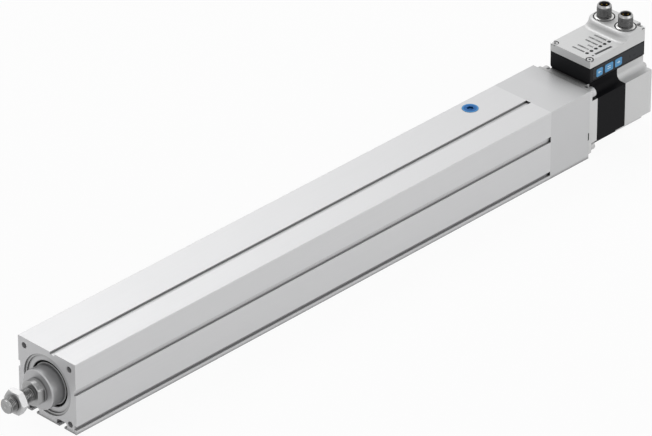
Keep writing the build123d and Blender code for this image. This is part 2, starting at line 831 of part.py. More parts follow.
# Stator: a stack of laminations with winding slots, and its copper windings
with BuildPart() as stator_stack:
    extrude(motor_section(stack_front), amount=stack_length)
    with BuildSketch(Plane.YZ.offset(stack_front)):
        Circle(stator_bore_radius)
        with PolarLocations(slot_radius / 2, slot_count):
            Rectangle(slot_radius, slot_width)
    extrude(amount=stack_length, mode=Mode.SUBTRACT)
    extrude(four_round(stack_front, motor_screw_pitch, motor_screw_radius + seat_gap),
            amount=stack_length, mode=Mode.SUBTRACT)
finish(stator_stack, "stator_stack")

with BuildPart() as stator_windings:
    for x_start in (stack_front - end_turn, stack_rear):
        turn(ring(x_start, x_start + end_turn, winding_outer_radius, winding_inner_radius))
    with BuildSketch(Plane.YZ.offset(stack_front)):
        with PolarLocations((winding_inner_radius + winding_outer_radius) / 2, slot_count):
            Rectangle(winding_outer_radius - winding_inner_radius - 2 * free_gap, slot_width - 2 * free_gap)
    extrude(amount=stack_length)
finish(stator_windings, "stator_windings")

# Rotor: two cups and a magnet on the motor's shaft
turned("motor_shaft", ring(jaw_rear + free_gap, shaft_rear, motor_shaft_radius))
magnet_start = rotor_front + cup_length
rotor_radius = stator_bore_radius - free_gap
turned("rotor_cups", *[
    ring(x, x + cup_length, rotor_radius, motor_shaft_radius + seat_gap)
    for x in (rotor_front, magnet_start + rotor_magnet_length)
])
turned("rotor_magnet", ring(magnet_start, magnet_start + rotor_magnet_length, rotor_magnet_radius,
                            motor_shaft_radius + seat_gap))

# Motor bearings, one in each end
motor_race = motor_shaft_radius + motor_bearing_race
turned("motor_bearing_outer_rings", *[
    sealed_race(x, motor_bearing_width, motor_bearing_radius - seat_gap, motor_race, motor_bearing_race)
    for x in motor_bearing_fronts
])
turned("motor_bearing_inner_rings", *[
    ring(x, x + motor_bearing_width, motor_race, motor_shaft_radius + seat_gap) for x in motor_bearing_fronts
])

# Motor rear cover: a bearing web, and behind it a room for the encoder
with BuildPart() as motor_rear_cover:
    extrude(motor_section(stack_rear), amount=rear_bell)
    turn(ring(stack_rear, web_front, winding_room_radius), mode=Mode.SUBTRACT)
    turn(ring(web_front, web_front + motor_bearing_width, motor_bearing_radius), mode=Mode.SUBTRACT)
    turn(ring(web_front, web_rear, motor_shaft_radius + motor_shaft_room), mode=Mode.SUBTRACT)
    turn(ring(web_rear, motor_rear, encoder_room_radius), mode=Mode.SUBTRACT)
    with BuildSketch(Plane.YZ.offset(web_rear)):
        with PolarLocations(encoder_post_circle, 3):
            Circle(encoder_post_radius)
    extrude(amount=encoder_post_height)
    extrude(lead_opening(free_gap), amount=controller_bottom - lead_bottom, mode=Mode.SUBTRACT)
    extrude(four_round(stack_rear, motor_screw_pitch, motor_screw_radius + seat_gap),
            amount=rear_bell, mode=Mode.SUBTRACT)
finish(motor_rear_cover, "motor_rear_cover")

# Encoder: a magnet on the shaft's end and a round board before it
turned("encoder_magnet", ring(shaft_rear, shaft_rear + encoder_magnet_length, encoder_magnet_radius))
encoder_board_front = web_rear + encoder_post_height
turned("encoder_board", ring(encoder_board_front, encoder_board_front + encoder_board_thickness,
                             encoder_board_radius))

# Motor end plate and the four long screws through the motor
with BuildPart() as motor_end_plate:
    extrude(motor_section(motor_rear), amount=end_plate)
    extrude(four_round(motor_rear, motor_screw_pitch, motor_screw_radius + seat_gap),
            amount=end_plate, mode=Mode.SUBTRACT)
finish(motor_end_plate, "motor_end_plate")

with BuildPart() as motor_screws:
    extrude(four_round(stack_front - motor_screw_reach, motor_screw_pitch, motor_screw_core),
            amount=motor_screw_reach)
    extrude(four_round(stack_front, motor_screw_pitch, motor_screw_radius), amount=motor_end - stack_front)
    extrude(four_round(motor_end, motor_screw_pitch, motor_screw_head_radius), amount=motor_screw_head_height)
    extrude(four_hexagons(motor_end + motor_screw_head_height, motor_screw_pitch, motor_screw_flats),
            amount=-motor_screw_socket_depth, mode=Mode.SUBTRACT)
finish(motor_screws, "motor_screws")

# Tie screws: from the motor's notches through the housing into the profile
with BuildPart() as tie_screws:
    extrude(four_round(profile_length - tie_screw_engagement, screw_pitch, tie_screw_core),
            amount=tie_screw_engagement)
    extrude(four_round(profile_length, screw_pitch, tie_screw_radius), amount=bell_front - profile_length)
    extrude(four_round(bell_front, screw_pitch, tie_head_radius), amount=tie_head_height)
    extrude(four_hexagons(bell_front + tie_head_height, screw_pitch, tie_socket_flats),
            amount=-tie_socket_depth, mode=Mode.SUBTRACT)
finish(tie_screws, "tie_screws")

# Controller base: a moulded tray with chamfered long edges, windows for the keys
# and posts for the board
with BuildPart() as controller_base:
    extrude(plate(controller_bottom, controller_length, controller_width), amount=base_height)
    chamfer(edges().group_by(Axis.Z)[0].filter_by(Axis.X), length=base_chamfer)
    fillet(edges().filter_by(Axis.Z), radius=base_corner)
    with BuildSketch(Plane.XY.offset(floor_top)):
        with Locations((controller_middle, 0)):
            Rectangle(controller_length - 2 * base_wall, controller_width - 2 * base_wall)
        add(cover_screw_discs(floor_top, corner_boss_radius), mode=Mode.SUBTRACT)
        with Locations((controller_middle, 0)):
            with GridLocations(standoff_pitch_x, standoff_pitch_y, 2, 2):
                Circle(standoff_radius, mode=Mode.SUBTRACT)
    extrude(amount=base_height, mode=Mode.SUBTRACT)
    with BuildSketch(Plane.XY.offset(board_bottom)):
        with Locations((controller_middle, 0)):
            with GridLocations(standoff_pitch_x, standoff_pitch_y, 2, 2):
                Circle(standoff_radius + seat_gap)
    extrude(amount=base_height, mode=Mode.SUBTRACT)
    extrude(cover_screw_discs(base_top, cover_screw_radius + seat_gap), amount=-cover_screw_reach - free_gap,
            mode=Mode.SUBTRACT)
    extrude(lead_opening(free_gap), amount=floor_top - lead_bottom, mode=Mode.SUBTRACT)
    for x, width in zip(key_centres, key_widths):
        with Locations((x, base_wall / 2 - controller_side, key_z)):
            Box(width + 2 * free_gap, base_wall, key_height + 2 * free_gap, mode=Mode.SUBTRACT)
    with Locations(((foil_front + foil_rear) / 2, -controller_side, (foil_bottom + foil_top) / 2)):
        Box(foil_rear - foil_front, 2 * foil_recess, foil_top - foil_bottom, mode=Mode.SUBTRACT)
finish(controller_base, "controller_base")

# Seal between base and cover
with BuildPart() as base_gasket:
    gasket_length = controller_length - 2 * gasket_inset
    gasket_span = controller_width - 2 * gasket_inset
    extrude(plate(base_top, gasket_length, gasket_span, base_corner), amount=gasket_thickness)
    extrude(plate(base_top, gasket_length - 2 * gasket_width, gasket_span - 2 * gasket_width),
            amount=gasket_thickness, mode=Mode.SUBTRACT)
    extrude(cover_screw_discs(base_top, cover_screw_hole), amount=gasket_thickness, mode=Mode.SUBTRACT)
finish(base_gasket, "base_gasket")

# Controller cover: a die-cast lid whose raised deck flows into the lamp panel
with BuildPart() as controller_cover:
    wide = controller_width + 2 * deck_overrun
    extrude(plate(cover_bottom, controller_length + 2 * deck_overrun, wide), amount=panel_height)
    deck_front = connector_x - deck_radius
    deck_length = controller_rear + deck_overrun / 2 - deck_front
    with BuildSketch(Plane.XY.offset(panel_z)):
        with Locations((deck_front + deck_length / 2, 0)):
            RectangleRounded(deck_length, connector_pitch + 2 * deck_radius, deck_radius)
    extrude(amount=deck_height)
    fillet(edges(Select.LAST).group_by(Axis.Z)[0], radius=deck_foot_fillet)
    fillet(edges().group_by(Axis.Z)[-1], radius=deck_top_fillet)
    extrude(plate(cover_bottom, controller_length, controller_width, base_corner / 2),
            amount=panel_height + deck_height, mode=Mode.INTERSECT)
    room_length = controller_length - 2 * cover_wall
    room_width = controller_width - 2 * cover_wall
    with BuildSketch(Plane.XY.offset(cover_bottom)):
        with Locations((controller_middle, 0)):
            Rectangle(room_length, room_width)
        add(cover_screw_discs(cover_bottom, corner_boss_radius), mode=Mode.SUBTRACT)
    extrude(amount=panel_height - cover_wall, mode=Mode.SUBTRACT)
    deck_room_front = connector_x - deck_room_radius
    deck_room_length = controller_rear - cover_wall - deck_room_front
    with BuildSketch(Plane.XY.offset(cover_bottom)):
        with Locations((deck_room_front + deck_room_length / 2, 0)):
            RectangleRounded(deck_room_length, room_width, deck_room_radius)
        add(cover_screw_discs(cover_bottom, corner_boss_radius), mode=Mode.SUBTRACT)
    extrude(amount=deck_z - deck_wall - cover_bottom, mode=Mode.SUBTRACT)
    for side in connector_sides:
        extrude(connector_disc(side, cover_bottom, connector_neck_radius + seat_gap),
                amount=panel_height + deck_height, mode=Mode.SUBTRACT)
        extrude(connector_disc(side, seal_bottom, connector_flange_radius + connector_flange_gap),
                amount=deck_z - seal_bottom, mode=Mode.SUBTRACT)
    for end, seat in screw_seats:
        extrude(screw_pair(end, seat, cover_screw_pocket), amount=deck_z - seat, mode=Mode.SUBTRACT)
    extrude(cover_screw_discs(cover_bottom, cover_screw_hole), amount=panel_height + deck_height,
            mode=Mode.SUBTRACT)
    with BuildSketch(Plane.XY.offset(panel_z)):
        with Locations(*lamp_places):
            Circle(lamp_radius + seat_gap)
    extrude(amount=-cover_wall, mode=Mode.SUBTRACT)
finish(controller_cover, "controller_cover")

# Cover screws: cap heads in the corner pockets, the rear pair longer than the front
with BuildPart() as cover_screws:
    screw_tip = base_top - cover_screw_reach
    for end, seat in screw_seats:
        extrude(screw_pair(end, screw_tip, cover_screw_radius), amount=seat - screw_tip)
        extrude(screw_pair(end, seat, cover_screw_head_radius), amount=cover_screw_head_height)
        extrude(screw_pair(end, seat + cover_screw_head_height, cover_screw_flats / 2, 6),
                amount=-cover_screw_socket_depth, mode=Mode.SUBTRACT)
finish(cover_screws, "cover_screws")

# Light guide: lamp windows that stand on one bar under the panel
with BuildPart() as led_lenses:
    lamp_ceiling = panel_z - cover_wall
    with BuildSketch(Plane.XY.offset(lamp_ceiling)):
        with Locations(*lamp_places):
            Circle(lamp_radius)
    extrude(amount=cover_wall + lamp_proud)
    with BuildSketch(Plane.XY.offset(lamp_ceiling)):
        with Locations(((lamp_places[0][0] + lamp_places[-1][0]) / 2, lamp_y)):
            Rectangle(lamp_count * lamp_pitch, lamp_pitch)
    extrude(amount=-light_bar_thickness)
finish(led_lenses, "led_lenses")

# Circuit board with its capacitors
with BuildPart() as circuit_board:
    extrude(plate(board_bottom, board_length, board_width), amount=board_thickness)
finish(circuit_board, "circuit_board")

with BuildPart() as board_capacitors:
    with BuildSketch(Plane.XY.offset(board_bottom + board_thickness)):
        for k in range(capacitor_count):
            with Locations((capacitor_x + k * capacitor_pitch, capacitor_y)):
                Circle(capacitor_radius)
    extrude(amount=capacitor_height)
finish(board_capacitors, "board_capacitors")

# Foil on the side of the controller, with a window for each key
with BuildPart() as keypad_panel:
    with BuildSketch(Plane.XZ.offset(controller_side - foil_recess + foil_thickness)):
        with Locations(((foil_front + foil_rear) / 2, (foil_bottom + foil_top) / 2)):
            RectangleRounded(foil_rear - foil_front - 2 * seat_gap, foil_top - foil_bottom - 2 * seat_gap,
                             foil_corner)
        for x, width in zip(key_centres, key_widths):
            with Locations((x, key_z)):
                RectangleRounded(width + 2 * free_gap, key_height + 2 * free_gap, key_corner,
                                 mode=Mode.SUBTRACT)
    extrude(amount=-foil_thickness)
finish(keypad_panel, "keypad_panel")

# Upright board behind the keys, with a switch dome for each
with BuildPart() as keypad_board:
    row_front = key_centres[0] - key_widths[0] / 2 - key_board_margin
    row_rear = key_centres[-1] + key_widths[-1] / 2 + key_board_margin
    with Locations(((row_front + row_rear) / 2, key_board_front + key_board_thickness / 2,
                    floor_top + key_board_height / 2)):
        Box(row_rear - row_front, key_board_thickness, key_board_height)
    with BuildSketch(Plane.XZ.offset(-key_board_front)):
        for x in key_centres:
            with Locations((x, key_z)):
                Circle(dome_radius)
    extrude(amount=dome_height)
finish(keypad_board, "keypad_board")

# Keys: each slides in its window and is kept in by a rim behind the wall
for label, x, width in zip(key_names, key_centres, key_widths):
    with BuildPart() as key:
        with BuildSketch(Plane.XZ.offset(controller_side + key_proud)):
            with Locations((x, key_z)):
                RectangleRounded(width, key_height, key_corner)
        extrude(amount=-key_proud - base_wall - free_gap)
        with BuildSketch(Plane.XZ.offset(-key_rim_front)):
            with Locations((x, key_z)):
                Rectangle(width + 2 * key_rim, key_height + 2 * key_rim)
        extrude(amount=-key_rim_thickness)
    finish(key, label)

# Plug connectors: a flanged threaded sleeve for power and one for signals
for label, side in zip(connector_names, connector_sides):
    with BuildPart() as connector:
        extrude(connector_disc(side, connector_bottom, connector_neck_radius), amount=connector_tail)
        extrude(connector_disc(side, flange_bottom, connector_flange_radius),
                amount=connector_flange_thickness)
        extrude(connector_disc(side, deck_z, connector_thread_radius), amount=connector_height)
        chamfer(edges().group_by(Axis.Z)[-1], length=connector_rim_chamfer)
        extrude(connector_disc(side, connector_bottom, connector_bore_radius),
                amount=connector_top - connector_bottom, mode=Mode.SUBTRACT)
    finish(connector, label)

# Insulating inserts, contact pins and seals of the connectors
with BuildPart() as connector_inserts:
    insert_height = insert_face - connector_bottom
    for side in connector_sides:
        extrude(connector_disc(side, connector_bottom, connector_bore_radius - seat_gap),
                amount=insert_height)
        extrude(pin_discs(side, connector_bottom, pin_radius + seat_gap), amount=insert_height,
                mode=Mode.SUBTRACT)
finish(connector_inserts, "connector_inserts")

with BuildPart() as connector_pins:
    for side in connector_sides:
        extrude(pin_discs(side, connector_bottom - pin_tail, pin_radius),
                amount=pin_tail + insert_height + pin_height)
finish(connector_pins, "connector_pins")

with BuildPart() as connector_seals:
    for side in connector_sides:
        extrude(connector_disc(side, seal_bottom, connector_flange_radius), amount=seal_thickness)
        extrude(connector_disc(side, seal_bottom, seal_bore_radius), amount=seal_thickness,
                mode=Mode.SUBTRACT)
finish(connector_seals, "connector_seals")

for piece in pieces:
    export_step(piece.part, f"parts/{piece.part.label}.step")
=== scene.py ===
"""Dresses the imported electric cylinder: finishes, threads, contacts, prints, studio and camera.

The solids are the frame: X runs from the rod end to the motor, Y away from the keys and Z up,
with the origin in the middle of the profile's front face. Sizes here are millimetres and become
metres where a mesh or a node takes them.
"""
from __future__ import annotations

import json
import logging
import math
from dataclasses import dataclass
from enum import Enum
from typing import Callable, Sequence

import bmesh
import bpy
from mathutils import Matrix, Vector

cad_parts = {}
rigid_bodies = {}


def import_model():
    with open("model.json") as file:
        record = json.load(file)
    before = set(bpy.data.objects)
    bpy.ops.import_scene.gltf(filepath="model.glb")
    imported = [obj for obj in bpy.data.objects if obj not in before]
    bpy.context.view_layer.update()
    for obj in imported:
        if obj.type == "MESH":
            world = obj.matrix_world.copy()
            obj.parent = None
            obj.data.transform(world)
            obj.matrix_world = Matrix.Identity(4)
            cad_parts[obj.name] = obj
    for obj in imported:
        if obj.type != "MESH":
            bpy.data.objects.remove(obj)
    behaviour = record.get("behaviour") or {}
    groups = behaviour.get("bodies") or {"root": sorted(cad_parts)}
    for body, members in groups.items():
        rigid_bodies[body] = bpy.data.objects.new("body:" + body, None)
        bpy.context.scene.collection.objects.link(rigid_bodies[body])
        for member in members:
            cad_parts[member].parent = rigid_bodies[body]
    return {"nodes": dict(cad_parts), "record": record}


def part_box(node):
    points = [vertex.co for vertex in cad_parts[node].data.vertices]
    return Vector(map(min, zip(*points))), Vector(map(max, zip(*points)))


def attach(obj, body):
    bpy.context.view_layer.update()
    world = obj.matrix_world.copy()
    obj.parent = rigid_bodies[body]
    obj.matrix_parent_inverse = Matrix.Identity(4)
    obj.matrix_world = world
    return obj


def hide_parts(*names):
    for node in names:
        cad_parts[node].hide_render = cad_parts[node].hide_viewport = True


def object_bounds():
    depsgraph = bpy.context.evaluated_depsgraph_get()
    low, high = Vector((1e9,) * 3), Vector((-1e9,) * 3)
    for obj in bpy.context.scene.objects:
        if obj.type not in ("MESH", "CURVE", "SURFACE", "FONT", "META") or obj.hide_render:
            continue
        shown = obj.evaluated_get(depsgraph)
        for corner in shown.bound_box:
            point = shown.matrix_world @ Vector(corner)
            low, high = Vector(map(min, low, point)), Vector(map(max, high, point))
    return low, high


for leftover in list(bpy.data.objects):
    bpy.data.objects.remove(leftover)
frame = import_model()
cad_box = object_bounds()

MM = 0.001
log = logging.getLogger("electric_cylinder")

Mesh = bpy.types.Mesh
Socket = bpy.types.NodeSocket
Tree = bpy.types.NodeTree
Pair = tuple[float, float]
Point = tuple[float, float, float]

DRAWN_STRETCH = (0.012, 1.0, 1.0)  # drawn lines run about 80 times as far along as across
CLOUD_SIZE_MM = 70.0  # the clouds in a finish are the size of a hand's touch
CLOUD_SHARE = 0.35  # their share beside the fine pattern
NOISE_SPAN = (0.35, 0.65)  # where a noise has most of its values
# a face at least this open gets none of the painted recess shade
FREE_FACE = 0.92  # the openness from which a face counts as free
# painted edge highlight: the edge colour is mixed in where the bevel's rounded normal leans away from the
# face
EDGE_HIGHLIGHT_SPAN = (0.98, 0.75)  # how far the rounded normal leans away over an edge
EDGE_HIGHLIGHT_SHARE = 0.3  # how much of its edge colour a finish shows there
SMOOTHEST = 0.03  # no finish is smoother than this
FINE_COLUMNS = 96  # round the rod, which the camera sees from close by


def linear(hex_colour: str) -> tuple[float, float, float, float]:
    """Turns an sRGB hex colour into the linear colour that shaders take.

    Args:
        hex_colour: The colour as "#RRGGBB".

    Returns:
        Red, green, blue and an alpha of 1, all linear.
    """
    channels = [int(hex_colour[start:start + 2], 16) / 255 for start in (1, 3, 5)]
    toned = [c / 12.92 if c <= 0.04045 else ((c + 0.055) / 1.055) ** 2.4 for c in channels]
    return (toned[0], toned[1], toned[2], 1.0)


def add_node(tree: Tree, kind: str, inputs: dict | None = None,
             **settings: object) -> bpy.types.Node:
    """Adds a node to a tree, with its settings and links.

    Args:
        tree: The node tree that gets the node.
        kind: The node's type.
        inputs: A value or an output socket for each input, by its name or number.
        **settings: The node's own properties.

    Returns:
        The new node.
    """
    node = tree.nodes.new(kind)
    for name, value in settings.items():
        setattr(node, name, value)
    for key, value in (inputs or {}).items():
        if isinstance(value, Socket):
            tree.links.new(value, node.inputs[key])
        else:
            node.inputs[key].default_value = value
    return node


def emptied(owner: bpy.types.Material | bpy.types.World) -> Tree:
    """Gives a material or a world an empty node tree.

    Args:
        owner: The material or world.

    Returns:
        Its node tree.
    """
    owner.use_nodes = True
    owner.node_tree.nodes.clear()
    return owner.node_tree


def placed(name: str, data: bpy.types.ID) -> bpy.types.Object:
    """Makes an object of its data and puts it into the scene.

    Args:
        name: The object's name.
        data: The mesh, lamp or camera that it shows.

    Returns:
        The object.
    """
    made = bpy.data.objects.new(name, data)
    bpy.context.scene.collection.objects.link(made)
    return made


def metres(x: float, y: float, z: float) -> Point:
    """Turns a place or size in millimetres into metres."""
    return (x * MM, y * MM, z * MM)


def box_mm(node: str) -> tuple[Vector, Vector]:
    """Lowest and highest corner of a CAD node at rest, in millimetres."""
    low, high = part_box(node)
    return low / MM, high / MM


class Pattern(Enum):
    """How a surface was made, which decides how its pattern runs."""

    DRAWN = "lines along the cylinder, left by a die or a grinding belt"
    TURNED = "rings about the cylinder's axis, left by a lathe"
    UPRIGHT = "rings about an upright axis, left by a lathe"
    STACKED = "sheets laid on each other along the cylinder"
    GRAIN = "an even grain, blasted or moulded"


@dataclass(frozen=True)
class Finish:
    """A material: what it is, how its surface was made and what that gives the eye.

    Attributes:
        name: The material's common name and process.
        colour: Its own colour, as sRGB hex.
        shade: The colour that its pattern mixes in.
        metallic: 1 for bare metal, less where a matte layer lies on it, 0 for the rest.
        roughness: The middle of its roughness.
        pattern: How the surface was made.
        grain_mm: The size of one line or grain.
        mottle: How much of the shade the pattern mixes in.
        spread: How far the pattern moves the roughness up and down.
        relief_mm: The height of the pattern.
        edge: The colour of the highlight painted on its edges.
        edge_mm: The radius at which edges catch the light.
        specular: The reflection's level, 0.5 for a spotless surface and less for a dull, open one.
        recess_mm: The width of the recesses that get painted shade.
        recess: How dark the painted shade makes the deepest of them, from 0 for black to 1 for no change.
        recess_from: The openness at which the painted shade is darkest.
    """

    name: str
    colour: str
    shade: str
    metallic: float
    roughness: float
    pattern: Pattern
    grain_mm: float
    mottle: float = 0.5
    spread: float = 0.05
    relief_mm: float = 0.004
    edge: str = "#F2F2F2"
    edge_mm: float = 0.25
    specular: float = 0.5
    recess_mm: float = 4.0
    recess: float = 0.12
    recess_from: float = 0.3

    def lay(self, tree: Tree, place: Socket) -> Socket:
        """Stretches the pattern's coordinates along the way that the surface was made.

        Args:
            tree: The material's node tree.
            place: The object coordinates, in metres.

        Returns:
            The coordinates that the pattern reads.
        """
        if self.pattern is Pattern.DRAWN:
            return add_node(tree, "ShaderNodeVectorMath", {0: place, 1: DRAWN_STRETCH},
                            operation="MULTIPLY").outputs[0]
        if self.pattern is Pattern.GRAIN:
            return place
        parts = add_node(tree, "ShaderNodeSeparateXYZ", {0: place}).outputs
        if self.pattern is Pattern.STACKED:
            return add_node(tree, "ShaderNodeCombineXYZ", {0: parts[0]}).outputs[0]
        if self.pattern is Pattern.UPRIGHT:
            return add_node(tree, "ShaderNodeCombineXYZ", {2: parts[2]}).outputs[0]
        across = add_node(tree, "ShaderNodeCombineXYZ", {1: parts[1], 2: parts[2]}).outputs[0]
        radius = add_node(tree, "ShaderNodeVectorMath", {0: across}, operation="LENGTH").outputs[1]
        return add_node(tree, "ShaderNodeCombineXYZ", {0: parts[0], 1: radius}).outputs[0]

    def paint_light_and_shade(self, tree: Tree, colour: Socket) -> Socket:
        """Painted light or shade on part of the surface, for a finish that has it.

        Args:
            tree: The material's node tree.
            colour: The colour so far.

        Returns:
            The colour, unchanged here.
        """
        return colour

    def build(self) -> bpy.types.Material:
        """Builds the material's nodes.

        Returns:
            The material.
        """
        material = bpy.data.materials.new(self.name)
        tree = emptied(material)
        place = add_node(tree, "ShaderNodeTexCoord").outputs["Object"]
        fine = add_node(tree, "ShaderNodeTexNoise", {
            "Vector": self.lay(tree, place), "Scale": 1 / (self.grain_mm * MM), "Detail": 2.0,
        }).outputs["Fac"]
        # broad clouds, so that a long face isn't one even tone
        broad = add_node(tree, "ShaderNodeTexNoise", {
            "Vector": place, "Scale": 1 / (CLOUD_SIZE_MM * MM), "Detail": 1.0}).outputs["Fac"]
        both = add_node(tree, "ShaderNodeMix", {0: CLOUD_SHARE, 2: fine, 3: broad}).outputs[0]
        tone = add_node(tree, "ShaderNodeMapRange", {
            0: both, 1: NOISE_SPAN[0], 2: NOISE_SPAN[1], 3: 0.0, 4: self.mottle}).outputs[0]
        patterned = add_node(tree, "ShaderNodeMix", {
            0: tone, 6: linear(self.colour), 7: linear(self.shade)}, data_type="RGBA").outputs[2]
        # painted light and shade of the finishes that have it: a rim highlight, an overhang's shadow,
        # highlight bands
        base = self.paint_light_and_shade(tree, patterned)
        # painted shade: narrow slots, threads and screw holes are darkened where ambient occlusion finds
        # them closed in
        open_here = add_node(tree, "ShaderNodeAmbientOcclusion", {
            "Distance": self.recess_mm * MM}, samples=8).outputs["AO"]
        painted_recess_shade = add_node(tree, "ShaderNodeMapRange", {
            0: open_here, 1: self.recess_from, 2: FREE_FACE, 3: self.recess, 4: 1.0}).outputs[0]
        base = add_node(tree, "ShaderNodeVectorMath", {0: base, 3: painted_recess_shade}, operation="SCALE").outputs[0]
        rounded = add_node(tree, "ShaderNodeBevel", {"Radius": self.edge_mm * MM}, samples=4).outputs[0]
        flat = add_node(tree, "ShaderNodeNewGeometry").outputs["Normal"]
        match = add_node(tree, "ShaderNodeVectorMath", {0: rounded, 1: flat}, operation="DOT_PRODUCT")
        # painted highlight on the edges, where the rounded normal leans away from the flat one
        painted_edge_highlight = add_node(tree, "ShaderNodeMapRange", {
            0: match.outputs[1], 1: EDGE_HIGHLIGHT_SPAN[0], 2: EDGE_HIGHLIGHT_SPAN[1], 3: 0.0, 4: EDGE_HIGHLIGHT_SHARE}).outputs[0]
        base = add_node(tree, "ShaderNodeMix", {
            0: painted_edge_highlight, 6: base, 7: linear(self.edge)}, data_type="RGBA").outputs[2]
        smoothest = max(self.roughness - self.spread, SMOOTHEST)
        roughest = self.roughness + self.spread
        rough = add_node(tree, "ShaderNodeMapRange", {
            0: both, 1: NOISE_SPAN[0], 2: NOISE_SPAN[1], 3: smoothest, 4: roughest}).outputs[0]
        relief = add_node(tree, "ShaderNodeBump", {
            "Strength": 1.0, "Distance": self.relief_mm * MM, "Height": fine, "Normal": rounded})
        shader = add_node(tree, "ShaderNodeBsdfPrincipled", {
            "Base Color": base, "Metallic": self.metallic, "Roughness": rough,
            "Normal": relief.outputs[0], "Specular IOR Level": self.specular})
        add_node(tree, "ShaderNodeOutputMaterial", {"Surface": shader.outputs[0]})
        return material


@dataclass(frozen=True)
class PaintedRimHighlightFinish(Finish):
    """A moulded cap with a highlight painted on its turned-down rim, lighter than its middle.

    Attributes:
        rim: The colour of the highlight painted on the rim, as sRGB hex.
        centre: The middle of the cap in plan.
        rim_mm: The radius at which the rim begins.
        blur_mm: The width over which its colour comes in.
    """

    rim: str = "#4C9CDA"
    centre: Pair = (467.3, 19.0)
    rim_mm: float = 5.1
    blur_mm: float = 0.25

    def paint_light_and_shade(self, tree: Tree, colour: Socket) -> Socket:
        """Paints the rim's highlight colour beyond its radius.

        Args:
            tree: The material's node tree.
            colour: The colour so far.

        Returns:
            The colour with the rim on it.
        """
        place = add_node(tree, "ShaderNodeTexCoord").outputs["Object"]
        middle = (self.centre[0] * MM, self.centre[1] * MM, 0.0)
        in_plan = (1.0, 1.0, 0.0)
        offset = add_node(tree, "ShaderNodeVectorMath", {0: place, 1: middle}, operation="SUBTRACT")
        flat = add_node(tree, "ShaderNodeVectorMath", {0: offset.outputs[0], 1: in_plan},
                        operation="MULTIPLY")
        radius = add_node(tree, "ShaderNodeVectorMath", {0: flat.outputs[0]}, operation="LENGTH")
        start, end = self.rim_mm * MM, (self.rim_mm + self.blur_mm) * MM
        share = add_node(tree, "ShaderNodeMapRange", {
            0: radius.outputs[1], 1: start, 2: end, 3: 0.0, 4: 1.0}).outputs[0]
        return add_node(tree, "ShaderNodeMix", {
            0: share, 6: colour, 7: linear(self.rim)}, data_type="RGBA").outputs[2]


@dataclass(frozen=True)
class PaintedOverhangShadowFinish(Finish):
    """A finish whose upper face lies partly under an overhang, with the overhang's shadow painted on it.

    Attributes:
        reach_mm: How far the overhang's painted shadow reaches.
        darkest: How dark the painted shadow gets on the upper face right under it.
        shaded: The openness right under the overhang, and beyond its shade.
        upward: How far up a face looks where it takes none of the painted shadow, and where it takes all of
            it.
    """

    reach_mm: float = 30.0
    darkest: float = 0.08
    shaded: Pair = (0.5, 0.93)
    upward: Pair = (0.5, 0.9)

    def paint_light_and_shade(self, tree: Tree, colour: Socket) -> Socket:
        """Paints the overhang's shadow on the upper face, darker towards the overhang.

        Args:
            tree: The material's node tree.
            colour: The colour so far.

        Returns:
            The colour with the shade on it.
        """
        # painted shadow: ambient occlusion over a long reach darkens the faces that look up under an
        # overhang
        open_here = add_node(tree, "ShaderNodeAmbientOcclusion", {
            "Distance": self.reach_mm * MM}, samples=8).outputs["AO"]
        clear = add_node(tree, "ShaderNodeMapRange", {
            0: open_here, 1: self.shaded[0], 2: self.shaded[1], 3: self.darkest, 4: 1.0}).outputs[0]
        normal = add_node(tree, "ShaderNodeNewGeometry").outputs["Normal"]
        up = add_node(tree, "ShaderNodeSeparateXYZ", {0: normal}).outputs[2]
        top = add_node(tree, "ShaderNodeMapRange", {
            0: up, 1: self.upward[0], 2: self.upward[1], 3: 0.0, 4: 1.0}).outputs[0]
        share = add_node(tree, "ShaderNodeMix", {0: top, 2: 1.0, 3: clear}).outputs[0]
        return add_node(tree, "ShaderNodeVectorMath", {0: colour, 3: share}, operation="SCALE").outputs[0]


@dataclass(frozen=True)
class PaintedHighlightBandsFinish(Finish):
    """A plated sleeve, darker in its middle, with highlights painted below and above.

    Attributes:
        flange: The colour of the highlight painted on the flange below, as sRGB hex.
        shoulder: The colour of the highlight painted on the shoulder above, as sRGB hex.
        low_mm: The height at which the dull middle begins.
        high_mm: The height at which it ends.
        low_blur_mm: The width over which the flange's colour comes in.
        high_blur_mm: The width over which the shoulder's colour comes in.
    """

    flange: str = "#D9D9D8"
    shoulder: str = "#A2A2A2"
    low_mm: float = 56.8
    high_mm: float = 65.5
    low_blur_mm: float = 0.2
    high_blur_mm: float = 0.8

    def paint_light_and_shade(self, tree: Tree, colour: Socket) -> Socket:
        """Paints the highlights below and above the middle.

        Args:
            tree: The material's node tree.
            colour: The colour so far.

        Returns:
            The colour with both painted highlights.
        """
        place = add_node(tree, "ShaderNodeTexCoord").outputs["Object"]
        height = add_node(tree, "ShaderNodeSeparateXYZ", {0: place}).outputs[2]
        # painted highlights: the flange's and the shoulder's colours are mixed in by height
        for edge, blur, bright in ((self.low_mm, -self.low_blur_mm, self.flange),
                                   (self.high_mm, self.high_blur_mm, self.shoulder)):
            share = add_node(tree, "ShaderNodeMapRange", {
                0: height, 1: edge * MM, 2: (edge + blur) * MM, 3: 0.0, 4: 1.0}).outputs[0]
            colour = add_node(tree, "ShaderNodeMix", {
                0: share, 6: colour, 7: linear(bright)}, data_type="RGBA").outputs[2]
        return colour


# Extruded aluminium under a satin anodic layer: pale and even, with faint lines from the die,
# which are drawn 0.9 mm apart because the real 0.1 mm ones are too fine to show
ANODISED_EXTRUSION = Finish("anodised_aluminium_extruded", "#DADADB", "#D4D5D6", 0.30, 0.42,
                            Pattern.DRAWN, 0.9, mottle=0.25, spread=0.025, relief_mm=0.0005, edge_mm=0.12,
                            recess_mm=3.5, recess=0.05, recess_from=0.36)
